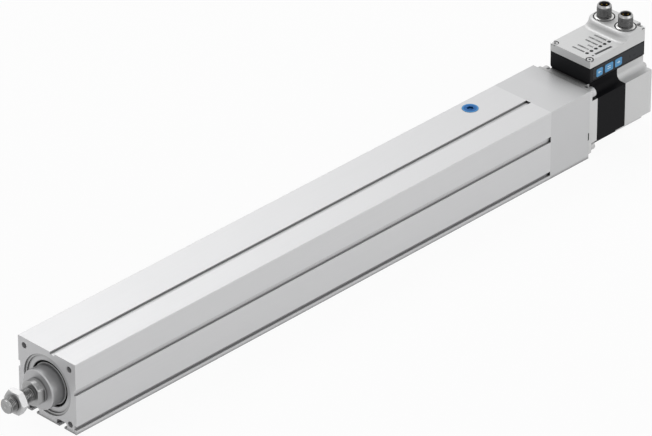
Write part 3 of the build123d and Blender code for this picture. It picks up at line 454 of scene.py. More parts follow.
# Milled and turned aluminium, anodised: the same tone with a slight cutter grain, and a painted shadow on
# upper faces under an overhang
MACHINED_ALUMINIUM = PaintedOverhangShadowFinish("anodised_aluminium_machined", "#CECECF", "#C6C7C8", 0.40, 0.38,
                                    Pattern.GRAIN, 0.5, relief_mm=0.003, edge_mm=0.12,
                                    recess=0.05, recess_from=0.38)
# Die-cast aluminium, blasted: a fine even grain that scatters the light
CAST_ALUMINIUM = Finish("die_cast_aluminium_blasted", "#D8D8D8", "#CCCDCD", 0.30, 0.46,
                        Pattern.GRAIN, 0.45, relief_mm=0.010, edge_mm=0.2)
# A shaded copy of the same casting where the controller stands over it, with the controller's shadow
# painted on its upper face
CAST_FLANGE_PAINTED_SHADOW = PaintedOverhangShadowFinish("die_cast_aluminium_painted_shadow", "#DCDCDC", "#D0D1D1", 0.30, 0.46,
                             Pattern.GRAIN, 0.45, relief_mm=0.010, edge_mm=0.2)
# Silicon steel sheets under black lacquer, drawn 1 mm thick because 0.5 mm is too fine to show
BLACK_LAMINATIONS = Finish("electrical_steel_black_lacquer", "#131315", "#1B1B1D", 0.0, 0.45,
                           Pattern.STACKED, 1.0, relief_mm=0.02, edge="#2A2A2C", specular=0.05)
# Hard chromed and finely ground: a satin rod with rings too faint to feel
GROUND_STEEL = Finish("chromed_steel_ground", "#B4B4B5", "#AAAAAB", 0.85, 0.42,
                      Pattern.TURNED, 0.35, relief_mm=0.0005, edge="#FFFFFF", edge_mm=0.3,
                      recess=1.0)
# Turned steel left bare: grey, with visible tool rings
TURNED_STEEL = Finish("carbon_steel_turned", "#A4A4A4", "#8E8E8F", 0.95, 0.30,
                      Pattern.TURNED, 0.3, relief_mm=0.006, edge="#F6F6F6", edge_mm=0.08,
                      recess_mm=1.0, recess=0.15, recess_from=0.45)
# Zinc plated steel: whitish and soft, cloudy where the bath passivated it
ZINC_STEEL = Finish("steel_zinc_plated", "#C8C8C8", "#B8B9BA", 0.55, 0.42,
                    Pattern.GRAIN, 0.8, relief_mm=0.003, edge_mm=0.2)
# Hardened bearing steel, ground and polished
BEARING_STEEL = Finish("bearing_steel_ground", "#A2A2A3", "#919193", 1.0, 0.16,
                       Pattern.TURNED, 0.2, relief_mm=0.0006)
# Nitrile rubber, moulded: black and dull with a soft bloom
NITRILE_RUBBER = Finish("nitrile_rubber_moulded", "#1A1A1B", "#242425", 0.0, 0.62,
                        Pattern.GRAIN, 0.6, edge="#2A2A2B", specular=0.15)
# Cast polyurethane of the wiper's lip, undyed: light grey and waxy
GREY_POLYURETHANE = Finish("polyurethane_grey_moulded", "#BEBEBE", "#B2B2B2", 0.0, 0.40,
                           Pattern.GRAIN, 0.4, edge="#D8D8D8", edge_mm=0.1, recess=1.0)
# Filled acetal for dry bearings: dark grey, waxy
BEARING_PLASTIC = Finish("acetal_filled_moulded", "#45464A", "#3B3C40", 0.0, 0.38,
                         Pattern.GRAIN, 0.4, edge="#5A5B60")
# Sintered magnet under nickel: dark and grainy
MAGNET = Finish("ferrite_magnet_sintered", "#37383B", "#2D2E30", 0.4, 0.45,
                Pattern.GRAIN, 0.3, relief_mm=0.01, edge="#55565A")
# Copper wire under enamel: reddish brown with the turns side by side
ENAMELLED_COPPER = Finish("copper_wire_enamelled", "#8C4A22", "#6E3616", 0.8, 0.30,
                          Pattern.TURNED, 0.6, relief_mm=0.05, edge="#A8612F")
# Glass fibre laminate under green solder mask: glossy with a faint weave
BOARD_LAMINATE = Finish("glass_epoxy_laminate", "#1D5C34", "#174A2A", 0.0, 0.30,
                        Pattern.GRAIN, 0.5, edge="#6E7F45")
# Drawn aluminium cans of the capacitors
DRAWN_CAN = Finish("aluminium_can_drawn", "#B4B5B8", "#A2A3A6", 1.0, 0.28, Pattern.UPRIGHT, 0.4)
# Glass filled polyamide, moulded: black with an eroded grain that softens the gloss
BLACK_POLYAMIDE = Finish("polyamide_black_moulded", "#222224", "#1C1C1E", 0.0, 0.46,
                         Pattern.GRAIN, 0.5, relief_mm=0.012, edge="#3A3A3C", edge_mm=0.3, specular=0.1)
# Polyester foil printed black on its back: smooth, with a slight orange peel
KEYPAD_FOIL = Finish("polyester_foil_black", "#2A2C30", "#232529", 0.0, 0.30,
                     Pattern.GRAIN, 2.0, relief_mm=0.004, edge="#2C2F34", edge_mm=0.1, specular=0.2)
# Blue ABS of the keys: satin, moulded
BLUE_KEY = Finish("abs_blue_moulded", "#529FD3", "#458FC5", 0.0, 0.35,
                  Pattern.GRAIN, 0.6, edge="#8FCBF0", edge_mm=0.25)
# Blue polyamide of the lubrication plug, with a highlight painted on its rim
BLUE_PLUG = PaintedRimHighlightFinish("polyamide_blue_moulded", "#1B6DB8", "#1862A8", 0.0, 0.40,
                         Pattern.GRAIN, 0.6, edge="#5BA5DE", edge_mm=0.12, specular=0.2)
# Smoked polycarbonate lamp window, unlit: dark grey and glossy
SMOKED_WINDOW = Finish("polycarbonate_smoked", "#1E1F21", "#191A1C", 0.0, 0.22,
                       Pattern.GRAIN, 1.0, relief_mm=0.001, edge="#3A3B3D", edge_mm=0.1, specular=0.3)
# Brass under bright nickel: grey with a warm cast, rings from the lathe, and highlights painted on flange
# and shoulder
NICKEL_BRASS = PaintedHighlightBandsFinish("brass_nickel_plated", "#6C6C6C", "#565656", 0.85, 0.28,
                            Pattern.UPRIGHT, 0.25, relief_mm=0.002, edge="#F0F0EF", edge_mm=0.12,
                            recess_mm=1.2, recess_from=0.4)
# Brass pins under gold
GOLD_CONTACT = Finish("brass_gold_plated", "#A8833A", "#8F6F30", 1.0, 0.30,
                      Pattern.UPRIGHT, 0.3, relief_mm=0.001, edge="#F0D080", edge_mm=0.08)
# Screen printed ink: dull and even, dark grey on metal, pale on the blue keys
DARK_INK = Finish("screen_ink_black", "#2A2B2D", "#343537", 0.0, 0.55, Pattern.GRAIN, 0.4, edge="#57595C")
PALE_INK = Finish("screen_ink_pale", "#D9EDF9", "#C9E2F2", 0.0, 0.50, Pattern.GRAIN, 0.4, edge="#E6F3FB")

SLOT_FINISHES: dict[str, Finish] = {
    "anodised_profile": ANODISED_EXTRUSION, "machined_aluminium": MACHINED_ALUMINIUM,
    "cast_aluminium": CAST_ALUMINIUM, "black_laminations": BLACK_LAMINATIONS,
    "ground_steel": GROUND_STEEL, "turned_steel": TURNED_STEEL, "zinc_steel": ZINC_STEEL,
    "bearing_steel": BEARING_STEEL, "black_rubber": NITRILE_RUBBER, "bearing_plastic": BEARING_PLASTIC,
    "magnet_material": MAGNET, "enamelled_copper": ENAMELLED_COPPER, "board_laminate": BOARD_LAMINATE,
    "capacitor_cans": DRAWN_CAN, "black_housing_plastic": BLACK_POLYAMIDE, "keypad_foil": KEYPAD_FOIL,
    "blue_plastic": BLUE_KEY, "lamp_lens": SMOKED_WINDOW, "nickel_plated_brass": NICKEL_BRASS,
    "gold_plated_contacts": GOLD_CONTACT,
}
NODE_FINISHES: dict[str, Finish] = {"lubrication_plug": BLUE_PLUG, "motor_flange": CAST_FLANGE_PAINTED_SHADOW}


class Workshop:
    """Keeps the built materials, and turns finished meshes into pieces of the object."""

    def __init__(self) -> None:
        """Starts with no material built."""
        self._built: dict[str, bpy.types.Material] = {}

    def material(self, finish: Finish) -> bpy.types.Material:
        """Gives a finish's material, built once.

        Args:
            finish: The finish that is wanted.

        Returns:
            Its material.
        """
        if finish.name not in self._built:
            self._built[finish.name] = finish.build()
        return self._built[finish.name]

    def dress_solids(self) -> None:
        """Gives each CAD node the finish of its material slot, or its own."""
        for part in frame["record"]["subparts"]:
            finish = NODE_FINISHES.get(part["node"], SLOT_FINISHES[part["material_slot"]])
            mesh = frame["nodes"][part["node"]].data
            mesh.materials.clear()
            mesh.materials.append(self.material(finish))
            log.info("solid %s: %s", part["node"], finish.name)

    def piece(self, name: str, mesh: Mesh, body: str, slot: str | None, finish: Finish,
              smooth_degrees: float = 32.0) -> bpy.types.Object:
        """Makes a mesh a piece that rides on a body.

        Args:
            name: The piece's name.
            mesh: Its mesh, in place.
            body: The CAD body that it rides on.
            slot: The record's material slot that fits the piece, if one does; not used.
            finish: Its finish.
            smooth_degrees: Edges sharper than this stay sharp.

        Returns:
            The piece.
        """
        mesh.name = name
        mesh.materials.clear()
        mesh.materials.append(self.material(finish))
        mesh.shade_smooth()
        mesh.set_sharp_from_angle(angle=math.radians(smooth_degrees))
        made = placed(name, mesh)
        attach(made, body)
        log.info("piece %s on %s: %d faces, %s", name, body, len(mesh.polygons), finish.name)
        return made


def mesh_from(build: Callable[[bmesh.types.BMesh], None]) -> Mesh:
    """Runs a building function on an empty mesh, then merges doubles and turns the faces outwards.

    Args:
        build: Adds vertices and faces to the mesh it is given.

    Returns:
        The mesh.
    """
    work = bmesh.new()
    build(work)
    bmesh.ops.remove_doubles(work, verts=work.verts, dist=1e-7)
    bmesh.ops.dissolve_degenerate(work, edges=work.edges, dist=1e-8)
    bmesh.ops.recalc_face_normals(work, faces=work.faces)
    mesh = bpy.data.meshes.new("work")
    work.to_mesh(mesh)
    work.free()
    return mesh


@dataclass(frozen=True)
class Thread:
    """A right-hand screw thread between two places along an axis, with a cone at its free end.

    Attributes:
        start: Where it begins.
        end: Where it ends.
        crest: Its outer radius.
        depth: The height of its ridges.
        pitch: The distance from ridge to ridge.
        lead_in: How much smaller than the crest the radius is at the start.
        lead_out: The same at the end.
    """

    start: float
    end: float
    crest: float
    depth: float
    pitch: float
    lead_in: float = 0.0
    lead_out: float = 0.0

    # The ridge over one pitch: share of the pitch, and share of the height
    RIDGE = ((0.0, 0.0), (0.22, 0.0), (0.53, 1.0), (0.69, 1.0), (1.0, 0.0))

    def radius(self, along: float, turn: float) -> float:
        """The radius at a place along the axis.

        Args:
            along: The place.
            turn: The share of a full turn about the axis.

        Returns:
            The radius, cut back by the cones at both ends.
        """
        share = ((along - self.start) / self.pitch - turn) % 1.0
        height = 0.0
        for (x0, h0), (x1, h1) in zip(self.RIDGE, self.RIDGE[1:]):
            if x0 <= share <= x1:
                height = h0 + (h1 - h0) * (share - x0) / (x1 - x0)
        cone = min(self.crest - self.lead_in + (along - self.start),
                   self.crest - self.lead_out + (self.end - along))
        return min(self.crest - self.depth * (1 - height), cone)

    def rows(self, turn: float) -> list[tuple[float, float]]:
        """The corners that the thread gives one column of a turned mesh.

        Args:
            turn: The column's share of a full turn.

        Returns:
            Place and radius of each corner, from start to end.
        """
        pitches = math.ceil((self.end - self.start) / self.pitch) + 2
        corners = []
        for k in range(pitches):
            for share, _ in self.RIDGE[:-1]:
                along = self.start + (k - 1 + share + turn) * self.pitch
                along = min(max(along, self.start), self.end)
                corners.append((along, self.radius(along, turn)))
        return corners


@dataclass(frozen=True)
class Turning:
    """A turned piece, from the corners of its half section.

    Attributes:
        before: Place and radius of the corners up to the thread, with an optional third number:
            the half width across flats that the corner is held to.
        thread: The thread, if the piece has one.
        after: The corners that follow the thread.
        upright: The axis in plan where the piece stands upright, or None where it lies on the
            cylinder's axis.
        columns: How many columns go round.
    """

    before: Sequence[tuple[float, ...]]
    thread: Thread | None = None
    after: Sequence[tuple[float, ...]] = ()
    upright: tuple[float, float] | None = None
    columns: int = 72

    def spot(self, corner: Sequence[float], turn: float) -> Point:
        """Places one corner of one column, in metres.

        Args:
            corner: Place, radius and perhaps the half width across flats.
            turn: The column's share of a full turn.

        Returns:
            The point.
        """
        across = corner[1] * math.cos(2 * math.pi * turn)
        over = corner[1] * math.sin(2 * math.pi * turn)
        if len(corner) > 2:
            across = max(-corner[2], min(corner[2], across))
        if self.upright is None:
            return (corner[0] * MM, across * MM, over * MM)
        return ((self.upright[0] + across) * MM, (self.upright[1] + over) * MM, corner[0] * MM)

    def mesh(self) -> Mesh:
        """Builds the closed mesh.

        Returns:
            The mesh, in place.
        """
        closed_ring = self.before[0][1] > 0

        def build(work: bmesh.types.BMesh) -> None:
            """Lays columns of corners side by side; at the seam the thread has moved one pitch on.

            Args:
                work: The mesh that takes them.
            """
            grid = []
            for i in range(self.columns):
                turn = i / self.columns
                threaded = self.thread.rows(turn) if self.thread else []
                corners = [*self.before, *threaded, *self.after]
                grid.append([work.verts.new(self.spot(c, turn)) for c in corners])
            first, rows = len(self.before), len(grid[0])
            last = rows - len(self.after)
            step = len(Thread.RIDGE) - 1
            spans = rows if closed_ring else rows - 1
            for i, column in enumerate(grid):
                seam = i == self.columns - 1
                beside = grid[0] if seam else grid[i + 1]
                for j in range(spans):
                    k = (j + 1) % rows
                    shifted = [
                        min(row + step, last - 1) if seam and first <= row < last else row for row in (j, k)
                    ]
                    corners = [column[j], column[k], beside[shifted[1]], beside[shifted[0]]]
                    if len(set(corners)) == 4:
                        work.faces.new(corners)

        return mesh_from(build)


def slab(outlines: Sequence[Sequence[Point]], lift: Point) -> Mesh:
    """A thin slab for each flat outline.

    Args:
        outlines: Corners of each outline, in millimetres and in order.
        lift: The way and distance that the slab stands up from its outline.

    Returns:
        The mesh, in metres.
    """

    def build(work: bmesh.types.BMesh) -> None:
        """Joins a lower and an upper copy of each outline.

        Args:
            work: The mesh that takes them.
        """
        for outline in outlines:
            low = [work.verts.new(Vector(p) * MM) for p in outline]
            high = [work.verts.new((Vector(p) + Vector(lift)) * MM) for p in outline]
            work.faces.new(low[::-1])
            work.faces.new(high)
            for i in range(len(outline)):
                j = (i + 1) % len(outline)
                work.faces.new((low[i], low[j], high[j], high[i]))

    return mesh_from(build)


class Shape(Enum):
    """What a row or ring is made of."""

    DASH = "a flat printed dash"
    DOME = "a flat dome"
    PIN = "an upright pin with a round tip"


class RepeatTree:
    """A Geometry Nodes tree that repeats one shape along a line, with named inputs."""

    INPUTS = (("Count", "NodeSocketInt"), ("Start", "NodeSocketVector"), ("Step", "NodeSocketVector"),
              ("Size", "NodeSocketVector"), ("Shortest", "NodeSocketFloat"), ("Seed", "NodeSocketInt"),
              ("Finish", "NodeSocketMaterial"))
    # Sides of a round pin or dome
    SIDES = 24

    def __init__(self, shape: Shape) -> None:
        """Builds the tree for one shape.

        Args:
            shape: What the tree repeats.
        """
        self.tree = bpy.data.node_groups.new(f"row_of_{shape.name.lower()}", "GeometryNodeTree")
        for name, kind in self.INPUTS:
            self.tree.interface.new_socket(name=name, in_out="INPUT", socket_type=kind)
        self.tree.interface.new_socket(name="Geometry", in_out="OUTPUT", socket_type="NodeSocketGeometry")
        given = add_node(self.tree, "NodeGroupInput").outputs
        line = add_node(self.tree, "GeometryNodeMeshLine", {
            "Count": given["Count"], "Start Location": given["Start"], "Offset": given["Step"]})
        length = add_node(self.tree, "FunctionNodeRandomValue", {
            2: given["Shortest"], 3: 1.0, "Seed": given["Seed"]}, data_type="FLOAT")
        scale = add_node(self.tree, "ShaderNodeCombineXYZ", {0: 1.0, 1: length.outputs[1], 2: 1.0})
        spread = add_node(self.tree, "GeometryNodeInstanceOnPoints", {
            "Points": line.outputs[0], "Instance": self._one(shape, given["Size"]),
            "Scale": scale.outputs[0]})
        plain = add_node(self.tree, "GeometryNodeRealizeInstances", {0: spread.outputs[0]})
        dressed = add_node(self.tree, "GeometryNodeSetMaterial", {
            "Geometry": plain.outputs[0], "Material": given["Finish"]})
        add_node(self.tree, "NodeGroupOutput", {0: dressed.outputs[0]})

    def _one(self, shape: Shape, size: Socket) -> Socket:
        """Builds the shape that is repeated.

        Args:
            shape: What it is.
            size: Its size along X, Y and Z.

        Returns:
            The shape's geometry.
        """
        if shape is Shape.DASH:
            return add_node(self.tree, "GeometryNodeMeshCube", {"Size": size}).outputs[0]
        parts = add_node(self.tree, "ShaderNodeSeparateXYZ", {0: size}).outputs
        ball = add_node(self.tree, "GeometryNodeMeshUVSphere", {
            "Segments": self.SIDES, "Rings": self.SIDES // 2, "Radius": 0.5})
        if shape is Shape.DOME:
            return add_node(self.tree, "GeometryNodeTransform", {
                "Geometry": ball.outputs[0], "Scale": size}).outputs[0]
        half = add_node(self.tree, "ShaderNodeMath", {0: parts[0], 1: 0.5}, operation="MULTIPLY")
        middle = add_node(self.tree, "ShaderNodeMath", {0: parts[2], 1: -0.5}, operation="MULTIPLY")
        stem = add_node(self.tree, "GeometryNodeMeshCylinder", {
            "Vertices": self.SIDES, "Radius": half.outputs[0], "Depth": parts[2]})
        down = add_node(self.tree, "ShaderNodeCombineXYZ", {2: middle.outputs[0]})
        lowered = add_node(self.tree, "GeometryNodeTransform", {
            "Geometry": stem.outputs["Mesh"], "Translation": down.outputs[0]})
        evenly = add_node(self.tree, "ShaderNodeCombineXYZ", {0: parts[0], 1: parts[0], 2: parts[0]})
        tip = add_node(self.tree, "GeometryNodeTransform", {
            "Geometry": ball.outputs[0], "Scale": evenly.outputs[0]})
        pin = add_node(self.tree, "GeometryNodeJoinGeometry", {0: lowered.outputs[0]})
        self.tree.links.new(tip.outputs[0], pin.inputs[0])
        return pin.outputs[0]

    def run(self, values: dict[str, object]) -> Mesh:
        """Runs the tree on an empty carrier and takes the result as a plain mesh.

        Args:
            values: A value for each named input.

        Returns:
            The mesh.
        """
        carrier = placed("carrier", bpy.data.meshes.new("carrier"))
        modifier = carrier.modifiers.new("row", "NODES")
        modifier.node_group = self.tree
        for item in self.tree.interface.items_tree:
            if item.in_out == "INPUT":
                modifier[item.identifier] = values[item.name]
        ready = carrier.evaluated_get(bpy.context.evaluated_depsgraph_get())
        mesh = bpy.data.meshes.new_from_object(ready)
        bpy.data.objects.remove(carrier)
        return mesh


def joined(meshes: Sequence[Mesh]) -> Mesh:
    """Joins plain meshes into one.

    Args:
        meshes: The meshes, all in place.

    Returns:
        One mesh with the faces of all.
    """

    def build(work: bmesh.types.BMesh) -> None:
        """Takes in each mesh."""
        for mesh in meshes:
            work.from_mesh(mesh)

    return mesh_from(build)


@dataclass
class RodEnd:
    """The rod's threaded end: a boss with spanner flats, a relief and a stud with a real thread."""

    shop: Workshop
    boss_radius: float = 10.0
    boss_length: float = 7.5
    flats: float = 17.0
    flats_length: float = 6.0
    stub_radius: float = 8.0
    edge: float = 0.5
    stud_radius: float = 6.0
    relief_radius: float = 5.2
    relief_length: float = 0.9
    pitch: float = 1.25
    thread_depth: float = 0.72
    lead_in: float = 0.8
    lead_out: float = 0.8
    centre_radius: float = 1.7
    centre_depth: float = 1.6
    centre_edge: float = 0.2
    flats_edge: float = 0.3
    rear_edge: float = 0.2

    def make(self) -> None:
        """Turns the piece in place of its plain solid."""
        low, high = box_mm("rod_end")
        tip, stub_end = low.x, high.x
        boss_rear = box_mm("piston_rod")[0].x
        boss_front = boss_rear - self.boss_length
        thread_end = boss_front - self.relief_length
        flats_end = boss_front + self.flats_length
        flat = self.flats / 2
        before = [(tip + self.centre_depth, 0.0), (tip + self.centre_edge / 2, self.centre_radius),
                  (tip, self.centre_radius + self.centre_edge)]
        after = [
            (thread_end, self.relief_radius), (boss_front, self.relief_radius),
            (boss_front, self.boss_radius - self.edge, flat - self.flats_edge),
            (boss_front + self.edge, self.boss_radius, flat), (flats_end, self.boss_radius, flat),
            (flats_end, self.boss_radius), (boss_rear - self.rear_edge, self.boss_radius),
            (boss_rear, self.boss_radius - self.rear_edge), (boss_rear, self.stub_radius),
            (stub_end, self.stub_radius), (stub_end, 0.0),
        ]
        thread = Thread(tip, thread_end, self.stud_radius, self.thread_depth, self.pitch,
                        lead_in=self.lead_in, lead_out=self.lead_out)
        mesh = Turning(before, thread, after, columns=FINE_COLUMNS).mesh()
        made = self.shop.piece("threaded_rod_end", mesh, "rod", "turned_steel", TURNED_STEEL)
        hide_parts("rod_end")


@dataclass
class RodWiper:
    """The wiper in the cap's mouth: a light lip on the rod, and a black body set back behind it."""

    shop: Workshop
    set_back: float = 1.2
    lip_front: float = -0.5
    lip_thickness: float = 0.7
    lip_length: float = 0.35
    lip_edge: float = 0.15
    body_edge: float = 0.4
    clearance: float = 0.05
    grip: float = 1.0
    hollow_start: float = 1.6
    hollow: float = 0.8

    def make(self) -> None:
        """Turns the body in place of its plain solid, and the lip in front of it."""
        low, high = box_mm("rod_wiper")
        outer = (high.z - low.z) / 2
        rod = box_mm("piston_rod")[1].z + self.clearance
        lip_radius = rod + self.lip_thickness
        front = low.x + self.lip_front
        seam = front + self.lip_length
        back = low.x + self.set_back
        body = [
            (seam, rod), (seam, lip_radius), (back, lip_radius), (back, outer - self.body_edge),
            (back + self.body_edge, outer), (high.x, outer), (high.x, rod + self.hollow),
            (back + self.hollow_start, rod + self.hollow), (back + self.grip, rod),
        ]
        mesh = Turning(body, columns=FINE_COLUMNS).mesh()
        made = self.shop.piece("rod_wiper_body", mesh, "cylinder", "black_rubber", NITRILE_RUBBER)
        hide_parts("rod_wiper")
        lip = [(front, rod), (front, lip_radius - self.lip_edge), (front + self.lip_edge, lip_radius),
               (seam, lip_radius), (seam, rod)]
        mesh = Turning(lip, columns=FINE_COLUMNS).mesh()
        self.shop.piece("rod_wiper_lip", mesh, "cylinder", None, GREY_POLYURETHANE)


@dataclass
class PlugConnectors:
    """The two round inlets: a threaded sleeve on a flange, and contacts with round tips."""

    shop: Workshop
    flange_radius: float = 8.0
    flange_thickness: float = 0.8
    neck_radius: float = 6.8
    bore_radius: float = 4.3
    thread_radius: float = 5.95
    thread_depth: float = 0.35
    pitch: float = 1.0
    collar: float = 1.6
    run_out: float = 0.2
    foot_width: float = 0.5
    foot_height: float = 0.3
    edge: float = 0.25
    shoulder_length: float = 0.9
    shoulder_edge: float = 0.1
    rim_radius: float = 5.15
    rim_length: float = 2.1
    rim_edge: float = 0.4
    seal_radius: float = 8.8
    seal_sunk: float = 0.3
    seal_proud: float = 0.05
    seal_crown: float = 0.09
    pin_radius: float = 0.5
    pin_circle: float = 2.75
    pin_count: int = 4

    def make(self) -> None:
        """Makes a sleeve for each connector, and the contacts of both."""
        for node in ("power_connector", "signal_connector"):
            self._sleeve(node)
        self._contacts()

    def _sleeve(self, node: str) -> None:
        """Turns one sleeve in place of its plain solid.

        Args:
            node: The connector's CAD node.
        """
        low, high = box_mm(node)
        centre = ((low.x + high.x) / 2, (low.y + high.y) / 2)
        deck = box_mm("controller_cover")[1].z
        seat = deck - self.flange_thickness
        shoulder = high.z - self.rim_length
        start = deck + self.collar
        crest = self.thread_radius
        before = [
            (low.z, self.bore_radius), (low.z, self.neck_radius), (seat, self.neck_radius),
            (seat, self.flange_radius), (deck - self.edge, self.flange_radius),
            (deck, self.flange_radius - self.edge), (deck, crest + self.foot_width),
            (deck + self.foot_height, crest), (start, crest), (start, crest - self.thread_depth),
        ]
        thread = Thread(start + self.run_out, shoulder, crest, self.thread_depth, self.pitch,
                        lead_in=self.thread_depth, lead_out=self.thread_depth)
        after = [
            (shoulder, crest - self.shoulder_edge),
            (shoulder + self.shoulder_length, crest - 2 * self.shoulder_edge),
            (high.z - self.rim_edge, self.rim_radius), (high.z, self.rim_radius - self.edge),
            (high.z, self.bore_radius + self.edge), (high.z - self.edge, self.bore_radius),
        ]
        mesh = Turning(before, thread, after, upright=centre).mesh()
        made = self.shop.piece(f"{node}_sleeve", mesh, "cylinder", "nickel_plated_brass", NICKEL_BRASS)
        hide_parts(node)
        foot, brim = deck - self.seal_sunk, deck + self.seal_proud
        ring = [(foot, self.flange_radius), (brim, self.flange_radius),
                (deck + self.seal_crown, (self.flange_radius + self.seal_radius) / 2),
                (brim, self.seal_radius), (foot, self.seal_radius)]
        mesh = Turning(ring, upright=centre).mesh()
        self.shop.piece(f"{node}_seal_ring", mesh, "cylinder", "black_rubber", NITRILE_RUBBER)

    def _contacts(self) -> None:
        """Sets the contact pins of both connectors with the repeating tree, two rows for each."""
        low, high = box_mm("connector_pins")
        tree = RepeatTree(Shape.PIN)
        tall = high.z - low.z - self.pin_radius
        rows = []
        for node in ("power_connector", "signal_connector"):
            near, far = box_mm(node)
            middle = Vector(((near.x + far.x) / 2, (near.y + far.y) / 2, high.z - self.pin_radius))
            for way in (Vector((1, 0, 0)), Vector((0, 1, 0))):
                rows.append(tree.run({
                    "Count": self.pin_count // 2, "Start": tuple((middle - way * self.pin_circle) * MM),
                    "Step": tuple(way * 2 * self.pin_circle * MM),
                    "Size": metres(2 * self.pin_radius, 2 * self.pin_radius, tall),
                    "Shortest": 1.0, "Seed": 0, "Finish": self.shop.material(GOLD_CONTACT)}))
        made = self.shop.piece("contact_pins", joined(rows), "cylinder", "gold_plated_contacts",
                               GOLD_CONTACT)
        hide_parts("connector_pins")


@dataclass
class StatusPanel:
    """The cover's panel: domed lamp windows, rows of printed dashes, a printed bar and a dot."""

    shop: Workshop
    lamp_count: int = 6
    lamp_radius: float = 1.5
    dome_height: float = 0.5
    lens_proud: float = 0.1
    print_height: float = 0.03
    row_start: float = 3.4
    row_lengths: tuple[float, ...] = (13.2, 11.4, 6.2, 12.8, 13.6, 12.4)
    dash_pitch: float = 1.15
    dash_length: float = 1.0
    shortest_dash: float = 0.45
    letter_height: float = 1.7
    # The bar's two ends in plan
    bar: tuple[float, float, float, float] = (570.7, -16.25, 588.8, -17.15)
    bar_width: float = 2.2
    # The dot's middle in plan, and its radius
    dot: tuple[float, float, float] = (568.1, -16.4, 0.9)
    dot_corners: int = 24

    def make(self) -> None:
        """Makes the windows and the print."""
        low, high = box_mm("led_lenses")
        pitch = (high.x - low.x) / self.lamp_count
        first = (low.x + pitch / 2, (low.y + high.y) / 2, high.z - self.lens_proud)
        self._windows(first, pitch)
        self._rows(first, pitch)
        self._marks(first[2])

    def _windows(self, first: Point, pitch: float) -> None:
        """Sets the domed windows with the repeating tree.

        Args:
            first: The middle of the first lamp, on the panel.
            pitch: The distance from lamp to lamp.
        """
        mesh = RepeatTree(Shape.DOME).run({
            "Count": self.lamp_count, "Start": metres(*first), "Step": metres(pitch, 0, 0),
            "Size": metres(2 * self.lamp_radius, 2 * self.lamp_radius, self.dome_height),
            "Shortest": 1.0, "Seed": 0, "Finish": self.shop.material(SMOKED_WINDOW)})
        self.shop.piece("lamp_windows", mesh, "cylinder", "lamp_lens", SMOKED_WINDOW, smooth_degrees=60)

    def _rows(self, first: Point, pitch: float) -> None:
        """Prints a row of plain dashes beside each lamp, where the real one has its legend.

        Args:
            first: The middle of the first lamp, on the panel.
            pitch: The distance from lamp to lamp.
        """
        tree = RepeatTree(Shape.DASH)
        x, y, top = first
        rows = [tree.run({
            "Count": round(length / self.dash_pitch),
            "Start": metres(x + k * pitch, y + self.row_start, top + self.print_height / 2),
            "Step": metres(0, self.dash_pitch, 0),
            "Size": metres(self.letter_height, self.dash_length, self.print_height),
            "Shortest": self.shortest_dash, "Seed": k, "Finish": self.shop.material(DARK_INK)})
            for k, length in enumerate(self.row_lengths)]
        self.shop.piece("panel_print_rows", joined(rows), "cylinder", None, DARK_INK)

    def _marks(self, top: float) -> None:
        """Prints the bar and the dot in front of the lamps.

        Args:
            top: The panel's height.
        """
        x0, y0, x1, y1 = self.bar
        half = self.bar_width / 2
        bar = [(x0, y0 - half, top), (x1, y1 - half, top), (x1, y1 + half, top), (x0, y0 + half, top)]
        x, y, radius = self.dot
        angles = [math.tau * corner / self.dot_corners for corner in range(self.dot_corners)]
        dot = [(x + radius * math.cos(a), y + radius * math.sin(a), top) for a in angles]
        mesh = slab([bar, dot], (0, 0, self.print_height))
        self.shop.piece("panel_print_bar", mesh, "cylinder", None, DARK_INK)


@dataclass
class PaintedJointShade:
    """A black tab in the joint between the drive housing and the motor, which paints the shade of a slit
    there.
    """

    shop: Workshop
    width: float = 1.0
    low_z: float = -13.0
    high_z: float = -6.8
    proud: float = 0.04
    corner: float = 0.25
    overlap: float = 0.1

    def make(self) -> None:
        """Makes the tab with cut corners, all but flush with the housing's side."""
        low, high = box_mm("drive_housing")
        x0, x1, y = high.x - self.width, high.x + self.overlap, low.y
        cut = x0 + self.corner
        outline = [(x0, y, self.low_z + self.corner), (cut, y, self.low_z), (x1, y, self.low_z),
                   (x1, y, self.high_z), (cut, y, self.high_z), (x0, y, self.high_z - self.corner)]
        # painted shade: a thin black rubber slab on the housing's side where the slit's shade shows
        mesh = slab([outline], (0, -self.proud, 0))
        self.shop.piece("painted_joint_shade_tab", mesh, "cylinder", "black_rubber", NITRILE_RUBBER)


@dataclass
class KeySymbols:
    """Pale arrows, and a pair of bars, printed on the keys; widths are half widths."""

    shop: Workshop
    thickness: float = 0.03
    arrow: float = 1.9
    shaft: float = 0.35
    head: float = 1.3
    head_start: float = 0.1
    bar_place: float = 0.9

    def make(self) -> None:
        """Prints one symbol on each key."""
        self._print("key_back", "back_key", -1)
        self._print("key_enter", "enter_key", 0)
        self._print("key_next", "next_key", 1)

    def _print(self, node: str, body: str, way: int) -> None:
        """Prints an arrow that points back or on, or two bars on the middle key.

        Args:
            node: The key's CAD node.
            body: The body that the key is.
            way: -1 for back, 1 for on and 0 for the bars.
        """
        low, high = box_mm(node)
        x, z, y = (low.x + high.x) / 2, (low.z + high.z) / 2, low.y
        tip, shaft, head, neck = self.arrow, self.shaft, self.head, self.head_start
        if way:
            flats = [[(-tip, -shaft), (neck, -shaft), (neck, -head), (tip, 0.0), (neck, head),
                      (neck, shaft), (-tip, shaft)]]
        else:
            flats = [[(-tip, bar - shaft), (tip, bar - shaft), (tip, bar + shaft), (-tip, bar + shaft)]
                     for bar in (-self.bar_place, self.bar_place)]
        outlines = [[(x + (way or 1) * u, y, z + v) for u, v in flat] for flat in flats]
        mesh = slab(outlines, (0, -self.thickness, 0))
        self.shop.piece(f"{node}_symbol", mesh, body, None, PALE_INK)


